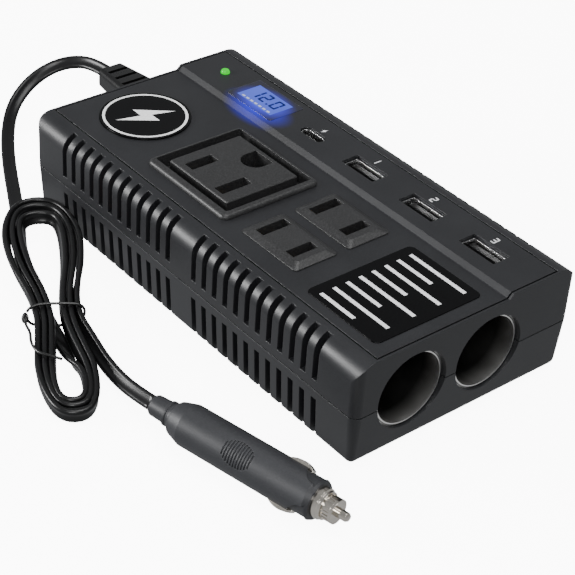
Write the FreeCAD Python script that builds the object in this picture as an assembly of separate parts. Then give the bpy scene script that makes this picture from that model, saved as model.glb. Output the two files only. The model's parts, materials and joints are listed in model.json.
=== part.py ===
"""Power inverter: 12 V lead in, mains outlets, USB ports and two 12 V sockets out.

Frame: millimetres, +Z up, origin on the floor under the middle of the case.
-Y is the front with the two 12 V sockets, +Y the back where the lead comes out,
-X the left vented side, and the raised strip with the USB ports runs along +X.
"""
import math
import os

import FreeCAD
import Part
from FreeCAD import Placement, Rotation, Vector

os.makedirs("parts", exist_ok=True)

X_AXIS = Vector(1, 0, 0)
Y_AXIS = Vector(0, 1, 0)
Z_AXIS = Vector(0, 0, 1)

# ---- case ---------------------------------------------------------------
CASE_WIDTH = 78.0
CASE_LENGTH = 149.0
WALL = 2.0
FOOT_HEIGHT = 1.0            # how far the rubber feet hold the case off the floor
SEAM_HEIGHT = 17.4           # where the bottom and top shells meet
DECK_HEIGHT = 34.0           # flat top that carries the outlets
STRIP_HEIGHT = 35.4          # raised strip that carries the USB ports
SIDE = CASE_WIDTH / 2
END = CASE_LENGTH / 2
CORNER_RADIUS = 2.6
LEFT_SHOULDER = 5.6
RIGHT_SHOULDER = 6.4
BASE_TAPER = 1.1             # the bottom shell narrows by this much on each side
BASE_EDGE_RADIUS = 2.4
SEAM_GAP = 0.35              # shadow line round the seam

# ---- inset top panel ------------------------------------------------------
PANEL_LEFT = -32.15
PANEL_RIGHT = 31.4
PANEL_GAP = 0.5
PANEL_THICKNESS = 2.0
PANEL_LIP = 0.7              # case wall left standing before and behind the panel
PANEL_BOTTOM = DECK_HEIGHT - PANEL_THICKNESS
LEDGE_WIDTH = 2.4
LEDGE_THICKNESS = 2.0
STEP_FOOT_X = 13.1           # foot and top of the slope between deck and strip
STEP_TOP_X = 14.5

# ---- vents ----------------------------------------------------------------
VENTS_PER_GROUP = 12
VENT_PITCH = 4.76
VENT_WIDTH = 2.1
FIRST_VENT_Y = 6.05
UPPER_VENT_BOTTOM = 20.3
UPPER_VENT_INNER_X = 34.9
LOWER_VENT_TOP = 14.4
LOWER_VENT_INNER_X = 35.3

# ---- outlets ----------------------------------------------------------------
BLADE_SPACING = 12.7
GROUND_OFFSET = 11.9         # ground pin to the line through the blades
GROUND_PIN_RADIUS = 2.4
LONG_SLOT = 9.9
SHORT_SLOT = 8.6
SLOT_WIDTH = 3.4
LEAF_GAP = 1.0               # the contacts spread when a 1.5 mm blade goes in
OUTLET_3PIN_CENTRE = (-9.9, 15.1)
FRAME_3PIN = (34.2, 37.2)
WELL_CENTRE_3PIN = (-9.4, 15.5)
WELL_3PIN = (30.6, 33.7)
SLEEVE_SHEET = 0.5
FACE_CENTRE_3PIN = (-9.1, 15.9)
FACE_3PIN = (25.5, 27.2)
FRAME_3PIN_RISE = 1.5
BLADE_LINE_X = -14.9
BLADE_SLOT_3PIN = 3.9        # the wide slots of this outlet stand further apart than the blades
SLOT_SPACING_3PIN = 15.0
GROUND_HOLE = (7.6, 8.2)
GROUND_HOLE_X = -1.35        # middle of its round end
OUTLET_2PIN_X = (-18.35, 0.3)
OUTLET_2PIN_Y = -21.2
PLATE_2PIN_BASE = (15.0, 23.8)
PLATE_2PIN_TOP = (10.8, 19.6)
PLATE_2PIN_RISE = 1.3
OUTLET_BODY_DEPTH = 11.0
PLATE_CORNER = 1.2

# ---- ports on the strip -------------------------------------------------------
PORT_X = 22.6
USB_A_YS = (-5.2, -30.0, -54.7)
USB_A_SHELL = (5.7, 13.1)
USB_A_SHEET = 0.4
USB_A_DEPTH = 13.0
USB_RECESS = 1.0             # how far the metal shells sit below the strip
USB_C_Y = 17.8
USB_C_SHELL = (3.26, 8.94)
USB_C_DEPTH = 7.5
PORT_CLEARANCE = 0.25
USB_BOARD_TOP = STRIP_HEIGHT - USB_RECESS - USB_A_DEPTH
BOARD_THICKNESS = 1.6

# ---- display, lamp, badge, label ----------------------------------------------
LCD_CENTRE = (22.8, 41.8)
LCD_WINDOW = (13.4, 21.6)
LCD_GLASS = (9.2, 16.4)
LED_CENTRE = (23.2, 62.5)
LED_RADIUS = 1.5
BADGE_CENTRE = (-12.2, 55.4)
BADGE_RADIUS = 13.8
BADGE_THICKNESS = 0.5
BADGE_RING_OUTER = 12.9
BADGE_RING_INNER = 12.1
LABEL_CENTRE = (-10.2, -55.0)
LABEL_SIZE = (37.5, 28.2)
LABEL_THICKNESS = 0.35

# ---- 12 V sockets in the front ------------------------------------------------
SOCKET_XS = (-19.4, 7.9)
SOCKET_Z = 18.6
SOCKET_BORE = 10.75          # inner radius of the metal tube
SOCKET_SHEET = 0.6
SOCKET_MOUTH = 11.8          # radius of the opening in the case front
SOCKET_RECESS = 1.4
SOCKET_FLANGE = 12.9
SOCKET_DEPTH = 36.0
SOCKET_FLOOR = 3.0
SOCKET_BUTTON = 3.8
SOCKET_BUTTON_DEPTH = 1.2
SOCKET_STEM = 2.0
FRONT_Y = -END

# ---- lead out of the back -----------------------------------------------------
CORD_WIDTH = 4.4
RELIEF_X = 3.5
RELIEF_Z = 24.4
RELIEF_LENGTH = 22.5
RELIEF_BASE = (14.4, 9.0)
RELIEF_TIP = (9.4, 6.8)
RELIEF_TIP_Y = END + RELIEF_LENGTH
LEAD_ROUTE = [
    (3.5, 97.0, 24.4), (3.4, 106.0, 24.3), (-0.4, 113.4, 23.2), (-7.2, 117.7, 20.5), (-15.4, 118.3, 16.4),
    (-23.8, 114.2, 12.2), (-31.4, 104.6, 9.1), (-38.6, 91.6, 6.9), (-45.2, 77.8, 6.1), (-51.6, 64.9, 7.6),
]
TAIL_ROUTE = [
    (-63.4, 15.0, 5.1), (-64.9, 6.0, 4.0), (-66.5, -2.6, 3.0), (-67.3, -12.0, 2.6), (-67.6, -21.0, 3.8),
    (-68.0, -29.3, 6.0),
]

# ---- hank: the wound part of the lead, in its own frame with the long way along u ----
HANK_CENTRE = Vector(-67.2, 19.2, 0)
HANK_HEADING = 64.7          # direction of the hank's far end, from +X
HANK_TILT = 4.2              # the far end of the hank is held up by the lead
HANK_THICKNESS = 4.6
HANK_SIDE = [
    (52.4, 0.0), (49.6, 7.4), (38.0, 11.0), (22.0, 10.4), (8.0, 7.2), (-2.0, 7.0), (-12.0, 7.8),
    (-26.0, 9.0), (-37.6, 7.2), (-42.4, 0.0),
]
FAR_HOLE_SIDE = [(44.5, 0.0), (41.0, 4.4), (26.0, 4.4), (6.0, 0.0)]
NEAR_HOLE_SIDE = [(-9.0, 0.0), (-24.0, 3.2), (-32.0, 2.6), (-35.0, 0.0)]
TIE_WIDTH = 1.4
TIE_SHEET = 1.0

# ---- plug lying on the floor ---------------------------------------------------
PLUG_RADIUS = 6.0
PLUG_START = Vector(-68.0, -29.3, PLUG_RADIUS)   # tail end of its sleeve, on the axis
PLUG_YAW = -77.5             # heading of the nose, from +X
PLUG_ROLL = 46.0             # the plug rests rolled over towards the lower side contact
PLUG_ROTATION = Rotation(Z_AXIS, PLUG_YAW).multiply(Rotation(X_AXIS, PLUG_ROLL))
PLUG_PLACEMENT = Placement(PLUG_START, PLUG_ROTATION)
SLEEVE_LENGTH = 6.8
BODY_START = 8.0
BODY_END = 54.8
NOSE_RING_LENGTH = 2.6
NOSE_CAP_LENGTH = 3.2
TIP_REACH = 3.3
TIP_TRAVEL = 2.0
CONTACT_STATION = 46.0
CONTACT_TRAVEL = 0.8
CONTACT_REACH = 6.9          # how far a side contact stands from the axis at rest
CONTACT_LENGTH = 7.6
CONTACT_WIDTH = 2.2
PLUG_BORE = 3.3
PLUG_BORE_START = 26.0
POCKET_SIZE = (14.0, 10.0)   # U-shaped relief in the skin round each side contact
POCKET_DEPTH = 0.6
GRIP_STATION = 31.5
GRIP_PITCH = 0.85
GRIP_HALF_WIDTH = 3.4
GRIP_DEPTH = 0.3
TIP_RADIUS = 1.3
TIP_COLLAR = 2.1
FUSE_RADIUS = 2.2
FUSE_CAP_RADIUS = 2.5

# ---- feet, screws and boards ----------------------------------------------------
FOOT_RADIUS = 3.5
FOOT_POCKET = 0.8
FOOT_PLACE = (31.5, 67.2)
SCREW_PLACE = (33.9, 60.4)
SCREW_BOSS = 2.8
SCREW_SHANK = 1.1
SCREW_HEAD = 2.6
MAIN_BOARD_Z = 6.2
MAIN_BOARD_X = (-34.0, 34.0)
MAIN_BOARD_Y = (-33.0, 57.2)
BOARD_TOP = MAIN_BOARD_Z + BOARD_THICKNESS

# ---- fan ----------------------------------------------------------------------
FAN_SIZE = 25.0
FAN_DEPTH = 10.0
FAN_X = -17.5
FAN_Z = 16.6
FAN_BLADES = 7
FAN_BORE = 11.7
FAN_HUB = 5.6
FAN_FRONT_Y = END - WALL - BASE_TAPER - 0.1 - FAN_DEPTH


def save(name, shape):
    """Write one sub-part to its own STEP file."""
    if not shape.isValid():
        print("INVALID", name)
    shape.exportStep("parts/" + name + ".step")


def block(x_range, y_range, z_range):
    """Axis-aligned box from three (low, high) pairs."""
    low = Vector(x_range[0], y_range[0], z_range[0])
    sizes = [pair[1] - pair[0] for pair in (x_range, y_range, z_range)]
    return Part.makeBox(sizes[0], sizes[1], sizes[2], low)


def span(centre, size):
    """The (low, high) pair of a stretch given by its middle and its length."""
    return (centre - size / 2, centre + size / 2)


def ring(outer, inner, length, start, axis):
    """Straight tube of the given radii."""
    tube = Part.makeCylinder(outer, length, start, axis)
    return tube.cut(Part.makeCylinder(inner, length, start, axis))


def rounded_outline(centre, size, radius, z):
    """Closed wire of a rectangle with rounded corners, flat at height z."""
    half_x = size[0] / 2
    half_y = size[1] / 2
    corners = ((1, 1, 0), (-1, 1, 90), (-1, -1, 180), (1, -1, 270))
    arcs = []
    for side_x, side_y, start in corners:
        middle = Vector(centre[0] + side_x * (half_x - radius), centre[1] + side_y * (half_y - radius), z)
        circle = Part.Circle(middle, Z_AXIS, radius)
        arcs.append(Part.Arc(circle, math.radians(start), math.radians(start + 90)).toShape())
    edges = []
    for index, arc in enumerate(arcs):
        following = arcs[(index + 1) % len(arcs)]
        edges.append(arc)
        edges.append(Part.LineSegment(arc.Vertexes[-1].Point, following.Vertexes[0].Point).toShape())
    return Part.Wire(edges)


def rounded_plate(centre, size, radius, z_range):
    """Plate with rounded vertical corners."""
    face = Part.Face(rounded_outline(centre, size, radius, z_range[0]))
    return face.extrude(Vector(0, 0, z_range[1] - z_range[0]))


def tapered_plate(centre, low_size, high_size, radius, z_range):
    """Plate whose sides slope in from low_size to high_size."""
    low = rounded_outline(centre, low_size, radius, z_range[0])
    high = rounded_outline(centre, high_size, radius, z_range[1])
    return Part.makeLoft([low, high], True, True)


def turned(profile):
    """Solid of revolution about the X axis from (station, radius) points."""
    points = [Vector(profile[0][0], 0, 0)]
    points += [Vector(station, radius, 0) for station, radius in profile]
    points += [Vector(profile[-1][0], 0, 0), points[0]]
    return Part.Face(Part.makePolygon(points)).revolve(Vector(0, 0, 0), X_AXIS, 360)


def group(solids):
    """Several separate solids kept in one node."""
    return Part.makeCompound(solids)


def prism_along_y(points, arcs, y_range):
    """Prism from a section in XZ; arcs names the point pairs joined through a middle point."""
    edges = []
    for index, point in enumerate(points):
        following = points[(index + 1) % len(points)]
        start = Vector(point[0], y_range[0], point[1])
        end = Vector(following[0], y_range[0], following[1])
        if index in arcs:
            middle = Vector(arcs[index][0], y_range[0], arcs[index][1])
            edges.append(Part.Arc(start, middle, end).toShape())
        else:
            edges.append(Part.LineSegment(start, end).toShape())
    return Part.Face(Part.Wire(edges)).extrude(Vector(0, y_range[1] - y_range[0], 0))


def quarter_middle(centre_x, centre_z, radius, side):
    """Middle of the quarter circle that rounds a shoulder on the given side."""
    reach = radius * math.sqrt(0.5)
    return (centre_x + side * reach, centre_z + reach)


# ---- case shells ---------------------------------------------------------------
def vent_ys():
    """Middles of the vent slots along one side, front and back groups."""
    steps = [FIRST_VENT_Y + index * VENT_PITCH for index in range(VENTS_PER_GROUP)]
    return [-y for y in steps] + steps


def vent_cutters(z_range, inner_x):
    """Boxes that open the vent slots on both sides."""
    cutters = []
    for y in vent_ys():
        for side in (-1, 1):
            reach = sorted((side * inner_x, side * (SIDE + 1)))
            cutters.append(block(reach, span(y, VENT_WIDTH), z_range))
    return group(cutters)


def socket_holes(radius, y_range):
    """Cylinders through the front for both 12 V sockets."""
    length = y_range[1] - y_range[0]
    places = [Vector(x, y_range[0], SOCKET_Z) for x in SOCKET_XS]
    return group([Part.makeCylinder(radius, length, place, Y_AXIS) for place in places])


def top_section(inset, drop):
    """Outline of the top shell in XZ, moved in by inset and its top lowered by drop."""
    left = -SIDE + inset
    right = SIDE - inset
    left_radius = LEFT_SHOULDER - inset
    right_radius = RIGHT_SHOULDER - inset
    deck = DECK_HEIGHT - drop
    strip = STRIP_HEIGHT - drop
    points = [
        (left, SEAM_HEIGHT), (left, deck - left_radius), (left + left_radius, deck),
        (STEP_FOOT_X, deck), (STEP_TOP_X, strip), (right - right_radius, strip),
        (right, strip - right_radius), (right, SEAM_HEIGHT),
    ]
    arcs = {
        1: quarter_middle(left + left_radius, deck - left_radius, left_radius, -1),
        5: quarter_middle(right - right_radius, strip - right_radius, right_radius, 1),
    }
    return points, arcs


def case_outline(inset, z):
    """Rounded rectangle of the case at height z, moved in by inset."""
    size = (CASE_WIDTH - 2 * inset, CASE_LENGTH - 2 * inset)
    return rounded_outline((0, 0), size, max(CORNER_RADIUS - inset, 0.6), z)


def panel_edge(clearance):
    """X and Y ranges of the top panel, grown by clearance."""
    reach = END - PANEL_LIP - PANEL_GAP + clearance
    return (PANEL_LEFT - clearance, PANEL_RIGHT + clearance), (-reach, reach)


def relief_hole_size():
    """Width and height of the window in the back wall for the strain relief."""
    return (RELIEF_BASE[0] - 3.0, RELIEF_BASE[1] - 2.4)


def fan_grille():
    """Slots through the back wall in front of the fan."""
    slots = []
    for index in range(-3, 4):
        z = FAN_Z + index * 3.0
        half = math.sqrt(FAN_BORE ** 2 - (z - FAN_Z) ** 2)
        slots.append(block(span(FAN_X, 2 * half), (END - WALL - 1, END + 1), span(z, 1.6)))
    return group(slots)


def bottom_case():
    """Lower shell: tapered tray with vents, screw bosses, foot pockets and half the sockets' holes."""
    base = FOOT_HEIGHT
    rim = SEAM_HEIGHT - SEAM_GAP / 2
    shell = Part.makeLoft([case_outline(BASE_TAPER, base), case_outline(0, rim)], True, True)
    low_edges = [edge for edge in shell.Edges if edge.BoundBox.ZMax < base + 0.01]
    shell = shell.makeFillet(BASE_EDGE_RADIUS, low_edges)
    inner_outlines = [case_outline(BASE_TAPER + WALL, base + WALL), case_outline(WALL, rim)]
    shell = shell.cut(Part.makeLoft(inner_outlines, True, True))
    shell = shell.cut(vent_cutters((0, LOWER_VENT_TOP), LOWER_VENT_INNER_X))
    shell = shell.cut(socket_holes(SOCKET_MOUTH, (FRONT_Y - 1, FRONT_Y + WALL)))
    shell = shell.cut(socket_holes(SOCKET_FLANGE + 0.3, (FRONT_Y + WALL, FRONT_Y + WALL + 4)))
    shell = shell.cut(fan_grille())
    for x, y in screw_places():
        shell = shell.fuse(Part.makeCylinder(SCREW_BOSS, rim - base - WALL, Vector(x, y, base + WALL)))
        shell = shell.cut(Part.makeCylinder(SCREW_SHANK + 0.4, SEAM_HEIGHT, Vector(x, y, 0)))
        shell = shell.cut(Part.makeCylinder(SCREW_HEAD + 0.2, 1.8, Vector(x, y, base)))
    for x, y in board_screw_places():
        shell = shell.fuse(Part.makeCylinder(2.4, MAIN_BOARD_Z - base - WALL, Vector(x, y, base + WALL)))
        shell = shell.cut(Part.makeCylinder(1.0, MAIN_BOARD_Z, Vector(x, y, base + WALL)))
    for x, y in foot_places():
        shell = shell.cut(Part.makeCylinder(FOOT_RADIUS, FOOT_POCKET, Vector(x, y, base)))
    return shell.removeSplitter()


def top_case():
    """Upper shell: side walls, rounded shoulders, vents and the ledge that holds the top panel."""
    points, arcs = top_section(0, 0)
    shell = prism_along_y(points, arcs, (-END, END))
    rim = SEAM_HEIGHT + SEAM_GAP / 2
    plan = Part.Face(case_outline(0, rim)).extrude(Vector(0, 0, STRIP_HEIGHT))
    shell = shell.common(plan)
    points, arcs = top_section(WALL, DECK_HEIGHT - PANEL_BOTTOM + LEDGE_THICKNESS)
    shell = shell.cut(prism_along_y(points, arcs, (-END + WALL, END - WALL)))
    x_range, y_range = panel_edge(PANEL_GAP)
    shell = shell.cut(block(x_range, y_range, (PANEL_BOTTOM, STRIP_HEIGHT + 1)))
    inner_x = (x_range[0] + LEDGE_WIDTH, x_range[1] - LEDGE_WIDTH)
    inner_y = (y_range[0] + LEDGE_WIDTH, y_range[1] - LEDGE_WIDTH)
    shell = shell.cut(block(inner_x, inner_y, (SEAM_HEIGHT, STRIP_HEIGHT)))
    shell = shell.cut(vent_cutters((UPPER_VENT_BOTTOM, STRIP_HEIGHT + 1), UPPER_VENT_INNER_X))
    shell = shell.cut(socket_holes(SOCKET_MOUTH, (FRONT_Y - 1, FRONT_Y + WALL)))
    shell = shell.cut(socket_holes(SOCKET_FLANGE + 0.3, (FRONT_Y + WALL, FRONT_Y + WALL + 4)))
    shell = shell.cut(fan_grille())
    hole = relief_hole_size()
    shell = shell.cut(block(span(RELIEF_X, hole[0]), (END - WALL - 1, END + 1), span(RELIEF_Z, hole[1])))
    for x, y in screw_places():
        boss_top = PANEL_BOTTOM - LEDGE_THICKNESS + 0.6
        shell = shell.fuse(Part.makeCylinder(SCREW_BOSS, boss_top - rim, Vector(x, y, rim)))
        shell = shell.cut(Part.makeCylinder(SCREW_SHANK + 0.05, 9.0, Vector(x, y, rim)))
    return shell.removeSplitter()


def top_panel():
    """Inset faceplate: flat deck, sloped step and raised strip, with every opening in it."""
    (left, right), (front, back) = panel_edge(0)
    points = [
        (left, PANEL_BOTTOM), (left, DECK_HEIGHT), (STEP_FOOT_X, DECK_HEIGHT), (STEP_TOP_X, STRIP_HEIGHT),
        (right, STRIP_HEIGHT), (right, PANEL_BOTTOM),
    ]
    panel = prism_along_y(points, {}, (front, back))
    low = PANEL_BOTTOM - 1
    high = STRIP_HEIGHT + 1
    opening = (WELL_3PIN[0] + 2 * SLEEVE_SHEET + 0.2, WELL_3PIN[1] + 2 * SLEEVE_SHEET + 0.2)
    cutters = [rounded_plate(WELL_CENTRE_3PIN, opening, 1.0, (low, high))]
    for x in OUTLET_2PIN_X:
        hole = (PLATE_2PIN_BASE[0] - 2.4, PLATE_2PIN_BASE[1] - 2.4)
        cutters.append(rounded_plate((x, OUTLET_2PIN_Y), hole, 1.0, (low, high)))
    for y in USB_A_YS:
        hole = (USB_A_SHELL[0] + 2 * PORT_CLEARANCE, USB_A_SHELL[1] + 2 * PORT_CLEARANCE)
        cutters.append(rounded_plate((PORT_X, y), hole, 0.3, (low, high)))
    slot = (USB_C_SHELL[0] + 2 * PORT_CLEARANCE, USB_C_SHELL[1] + 2 * PORT_CLEARANCE)
    cutters.append(rounded_plate((PORT_X - 0.5, USB_C_Y), slot, slot[0] / 2 - 0.01, (low, high)))
    window_floor = STRIP_HEIGHT - 0.5
    cutters.append(rounded_plate(LCD_CENTRE, LCD_WINDOW, 0.8, (window_floor, high)))
    cutters.append(rounded_plate(LCD_CENTRE, LCD_GLASS, 0.4, (low, high)))
    cutters.append(Part.makeCylinder(LED_RADIUS, 9, Vector(LED_CENTRE[0], LED_CENTRE[1], low)))
    badge_place = Vector(BADGE_CENTRE[0], BADGE_CENTRE[1], DECK_HEIGHT - 0.2)
    cutters.append(Part.makeCylinder(BADGE_RADIUS, 2, badge_place))
    cutters.append(rounded_plate(LABEL_CENTRE, LABEL_SIZE, 2.0, (DECK_HEIGHT - 0.2, high)))
    for cutter in cutters:
        panel = panel.cut(cutter)
    return panel.removeSplitter()


# ---- feet and screws -----------------------------------------------------------
def foot_places():
    """Middles of the four rubber feet."""
    return [(sx * FOOT_PLACE[0], sy * FOOT_PLACE[1]) for sx in (-1, 1) for sy in (-1, 1)]


def screw_places():
    """Middles of the four long screws that hold the shells together."""
    return [(sx * SCREW_PLACE[0], sy * SCREW_PLACE[1]) for sx in (-1, 1) for sy in (-1, 1)]


def board_screw_places():
    """Middles of the four screws that hold the main board."""
    return [(sx * 31.0, y) for sx in (-1, 1) for y in (-2.0, 50.0)]


def rubber_feet():
    feet = []
    for x, y in foot_places():
        pad = Part.makeCylinder(FOOT_RADIUS - 0.05, FOOT_HEIGHT + FOOT_POCKET, Vector(x, y, 0))
        rim = [edge for edge in pad.Edges if edge.BoundBox.ZMax < 0.01]
        feet.append(pad.makeFillet(0.6, rim))
    return group(feet)


def screw(head_radius, head_height, shank_radius, length, place):
    """Pan-head screw with a cross recess, head down, shank up from place."""
    body = Part.makeCylinder(head_radius, head_height, place)
    body = body.fuse(Part.makeCylinder(shank_radius, length, place + Vector(0, 0, head_height)))
    for angle in (0, 90):
        bar = block(span(0, head_radius * 1.1), span(0, 0.5), (0, 0.6))
        bar.rotate(Vector(0, 0, 0), Z_AXIS, angle)
        bar.translate(place - Vector(0, 0, 0.01))
        body = body.cut(bar)
    return body


def case_screws():
    length = SEAM_HEIGHT - FOOT_HEIGHT + 6.0
    return group([screw(SCREW_HEAD, 1.5, SCREW_SHANK, length, Vector(x, y, FOOT_HEIGHT + 0.3))
                  for x, y in screw_places()])


def board_screws():
    """Short screws, heads up, that hold the main board on its posts."""
    screws = []
    for x, y in board_screw_places():
        one = screw(2.2, 1.2, 0.95, 4.0, Vector(0, 0, 0))
        one.rotate(Vector(0, 0, 0), X_AXIS, 180)
        one.translate(Vector(x, y, MAIN_BOARD_Z + BOARD_THICKNESS + 1.2))
        screws.append(one)
    return group(screws)


# ---- outlets -------------------------------------------------------------------
def blade_slot(x, y, size, z_range):
    """Cutter for one blade slot; the long way runs along X."""
    return block(span(x, size[0]), span(y, size[1]), z_range)


def slot_ys(middle, spacing=BLADE_SPACING):
    """Back and front positions about the middle."""
    return (middle + spacing / 2, middle - spacing / 2)


def outlet_3pin_frame():
    """Raised surround with a rounded outer edge, standing on the panel round the deep channel."""
    top = DECK_HEIGHT + FRAME_3PIN_RISE
    rim = rounded_plate(OUTLET_3PIN_CENTRE, FRAME_3PIN, 2.0, (DECK_HEIGHT, top))
    outer_edges = [edge for edge in rim.Edges if edge.BoundBox.ZMin > top - 0.01]
    rim = rim.makeFillet(1.2, outer_edges)
    outer = (WELL_3PIN[0] + 2 * SLEEVE_SHEET, WELL_3PIN[1] + 2 * SLEEVE_SHEET)
    sleeve = rounded_plate(WELL_CENTRE_3PIN, outer, 1.0, (PANEL_BOTTOM - 0.8, DECK_HEIGHT + 0.2))
    well = rounded_plate(WELL_CENTRE_3PIN, WELL_3PIN, 0.8, (0, STRIP_HEIGHT + 5))
    return rim.fuse(sleeve).cut(well).removeSplitter()


def outlet_3pin_face():
    """Insulating block whose upright-sided face has the two blade slots and the ground hole."""
    top = DECK_HEIGHT + FRAME_3PIN_RISE - 0.1
    chamfer = 0.3
    floor_z = PANEL_BOTTOM - 0.8
    face = rounded_plate(FACE_CENTRE_3PIN, FACE_3PIN, 0.4, (floor_z, top - chamfer))
    crown = (FACE_3PIN[0] - 2 * chamfer, FACE_3PIN[1] - 2 * chamfer)
    face = face.fuse(tapered_plate(FACE_CENTRE_3PIN, FACE_3PIN, crown, 0.4, (top - chamfer, top)))
    flange = (FRAME_3PIN[0] - 1.0, FRAME_3PIN[1] - 1.0)
    depth = floor_z - OUTLET_BODY_DEPTH
    face = face.fuse(rounded_plate(OUTLET_3PIN_CENTRE, flange, 1.0, (floor_z - 1.5, floor_z)))
    face = face.fuse(rounded_plate(FACE_CENTRE_3PIN, FACE_3PIN, 1.0, (depth, floor_z - 1.5)))
    back_y, front_y = slot_ys(FACE_CENTRE_3PIN[1], SLOT_SPACING_3PIN)
    through = (depth + 1.5, top + 1)
    face = face.cut(blade_slot(BLADE_LINE_X, back_y, (SHORT_SLOT + 0.7, BLADE_SLOT_3PIN), through))
    face = face.cut(blade_slot(BLADE_LINE_X, front_y, (LONG_SLOT + 0.6, BLADE_SLOT_3PIN), through))
    return face.cut(ground_cutter(through)).removeSplitter()


def ground_cutter(z_range):
    """D-shaped hole of the ground pin: round towards the blades, flat away from them."""
    x = GROUND_HOLE_X
    y = FACE_CENTRE_3PIN[1]
    radius = GROUND_HOLE[1] / 2
    height = z_range[1] - z_range[0]
    round_part = Part.makeCylinder(radius, height, Vector(x, y, z_range[0]))
    flat_part = block((x, x + GROUND_HOLE[0] - radius), span(y, GROUND_HOLE[1]), z_range)
    keep = block((x - radius, x + GROUND_HOLE[0] - radius), span(y, GROUND_HOLE[1]), z_range)
    return round_part.fuse(flat_part).common(keep)


def spring_leaves(x, y, size, blade_y, z_range):
    """Pair of brass leaves that grip one blade, joined at the bottom."""
    outer = block(span(x, size[0] - 0.6), span(y, size[1] - 0.1), z_range)
    return outer.cut(block(span(x, size[0]), span(blade_y, LEAF_GAP), (z_range[0] + 1.0, z_range[1])))


def outlet_3pin_contacts():
    low = PANEL_BOTTOM - 0.8 - OUTLET_BODY_DEPTH + 1.5
    middle = FACE_CENTRE_3PIN[1]
    lengths = (SHORT_SLOT, LONG_SLOT)
    blade_ys = slot_ys(middle)
    leaves = []
    for slot_y, blade_y, length in zip(slot_ys(middle, SLOT_SPACING_3PIN), blade_ys, lengths):
        inward = 0.15 if blade_y < slot_y else -0.15
        size = (length, BLADE_SLOT_3PIN)
        leaves.append(spring_leaves(BLADE_LINE_X, slot_y, size, blade_y + inward, (low, low + 6)))
    ground = Vector(BLADE_LINE_X + GROUND_OFFSET + 0.5, middle, low)
    leaves.append(ring(GROUND_PIN_RADIUS + 0.45, GROUND_PIN_RADIUS + 0.1, 4.0, ground, Z_AXIS))
    return group(leaves)


def outlet_2pin(x):
    """Two-blade outlet: raised plate with sloped sides over an insulating block."""
    centre = (x, OUTLET_2PIN_Y)
    top = DECK_HEIGHT + PLATE_2PIN_RISE
    edge = 0.25
    body = rounded_plate(centre, PLATE_2PIN_BASE, PLATE_CORNER, (DECK_HEIGHT, DECK_HEIGHT + edge))
    body = body.fuse(tapered_plate(centre, PLATE_2PIN_BASE, PLATE_2PIN_TOP, PLATE_CORNER,
                                   (DECK_HEIGHT + edge, top)))
    neck = (PLATE_2PIN_BASE[0] - 2.5, PLATE_2PIN_BASE[1] - 2.5)
    depth = PANEL_BOTTOM - OUTLET_BODY_DEPTH
    body = body.fuse(rounded_plate(centre, neck, 1.0, (depth, DECK_HEIGHT)))
    back_y, front_y = slot_ys(OUTLET_2PIN_Y + 0.5)
    through = (depth + 1.5, top + 1)
    body = body.cut(blade_slot(x, back_y, (LONG_SLOT, SLOT_WIDTH), through))
    body = body.cut(blade_slot(x - 0.4, front_y, (SHORT_SLOT, SLOT_WIDTH), through))
    return body.removeSplitter()


def outlet_2pin_contacts():
    low = PANEL_BOTTOM - OUTLET_BODY_DEPTH + 1.5
    back_y, front_y = slot_ys(OUTLET_2PIN_Y + 0.5)
    leaves = []
    for x in OUTLET_2PIN_X:
        leaves.append(spring_leaves(x, back_y, (LONG_SLOT, SLOT_WIDTH), back_y, (low, low + 6)))
        leaves.append(spring_leaves(x - 0.4, front_y, (SHORT_SLOT, SLOT_WIDTH), front_y, (low, low + 6)))
    return group(leaves)


# ---- USB ports -------------------------------------------------------------------
def usb_a_shell(y):
    """Folded steel shell of one USB-A port, open at the top."""
    top = STRIP_HEIGHT - USB_RECESS
    bottom = USB_BOARD_TOP
    shell = rounded_plate((PORT_X, y), USB_A_SHELL, 0.5, (bottom, top))
    hollow = (USB_A_SHELL[0] - 2 * USB_A_SHEET, USB_A_SHELL[1] - 2 * USB_A_SHEET)
    shell = shell.cut(rounded_plate((PORT_X, y), hollow, 0.25, (bottom + USB_A_SHEET, top + 1)))
    for side in (-1, 1):
        window = block(span(PORT_X + side * USB_A_SHELL[0] / 2, 2), span(y, 2.4), span(top - 4.5, 2.2))
        shell = shell.cut(window)
    return shell


def usb_a_tongue(y):
    """Plastic tongue that carries the contacts, against the +X half of the shell."""
    bottom = USB_BOARD_TOP + USB_A_SHEET
    inside = (USB_A_SHELL[0] - 2 * USB_A_SHEET - 0.1, USB_A_SHELL[1] - 2 * USB_A_SHEET - 0.1)
    base = rounded_plate((PORT_X, y), inside, 0.2, (bottom, bottom + 3.0))
    top = STRIP_HEIGHT - USB_RECESS - 1.0
    return base.fuse(block((PORT_X + 0.15, PORT_X + 1.95), span(y, 11.0), (bottom + 3.0, top)))


def usb_c_shell():
    """Oval steel shell of the USB-C port."""
    centre = (PORT_X - 0.5, USB_C_Y)
    top = STRIP_HEIGHT - 0.5
    bottom = top - USB_C_DEPTH
    shell = rounded_plate(centre, USB_C_SHELL, USB_C_SHELL[0] / 2 - 0.01, (bottom, top))
    hollow = (USB_C_SHELL[0] - 0.5, USB_C_SHELL[1] - 0.5)
    return shell.cut(rounded_plate(centre, hollow, hollow[0] / 2 - 0.01, (bottom + 0.4, top + 1)))


def usb_c_tongue():
    top = STRIP_HEIGHT - 0.5
    bottom = top - USB_C_DEPTH + 0.4
    centre = (PORT_X - 0.5, USB_C_Y)
    return rounded_plate(centre, (0.7, 6.7), 0.3, (bottom, top - 1.2))


def usb_board():
    """Upright supply board under the strip; all ports stand on it."""
    z_range = (USB_BOARD_TOP - BOARD_THICKNESS, USB_BOARD_TOP)
    return block((19.6, 30.0), (-62.5, 24.0), z_range)


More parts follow.
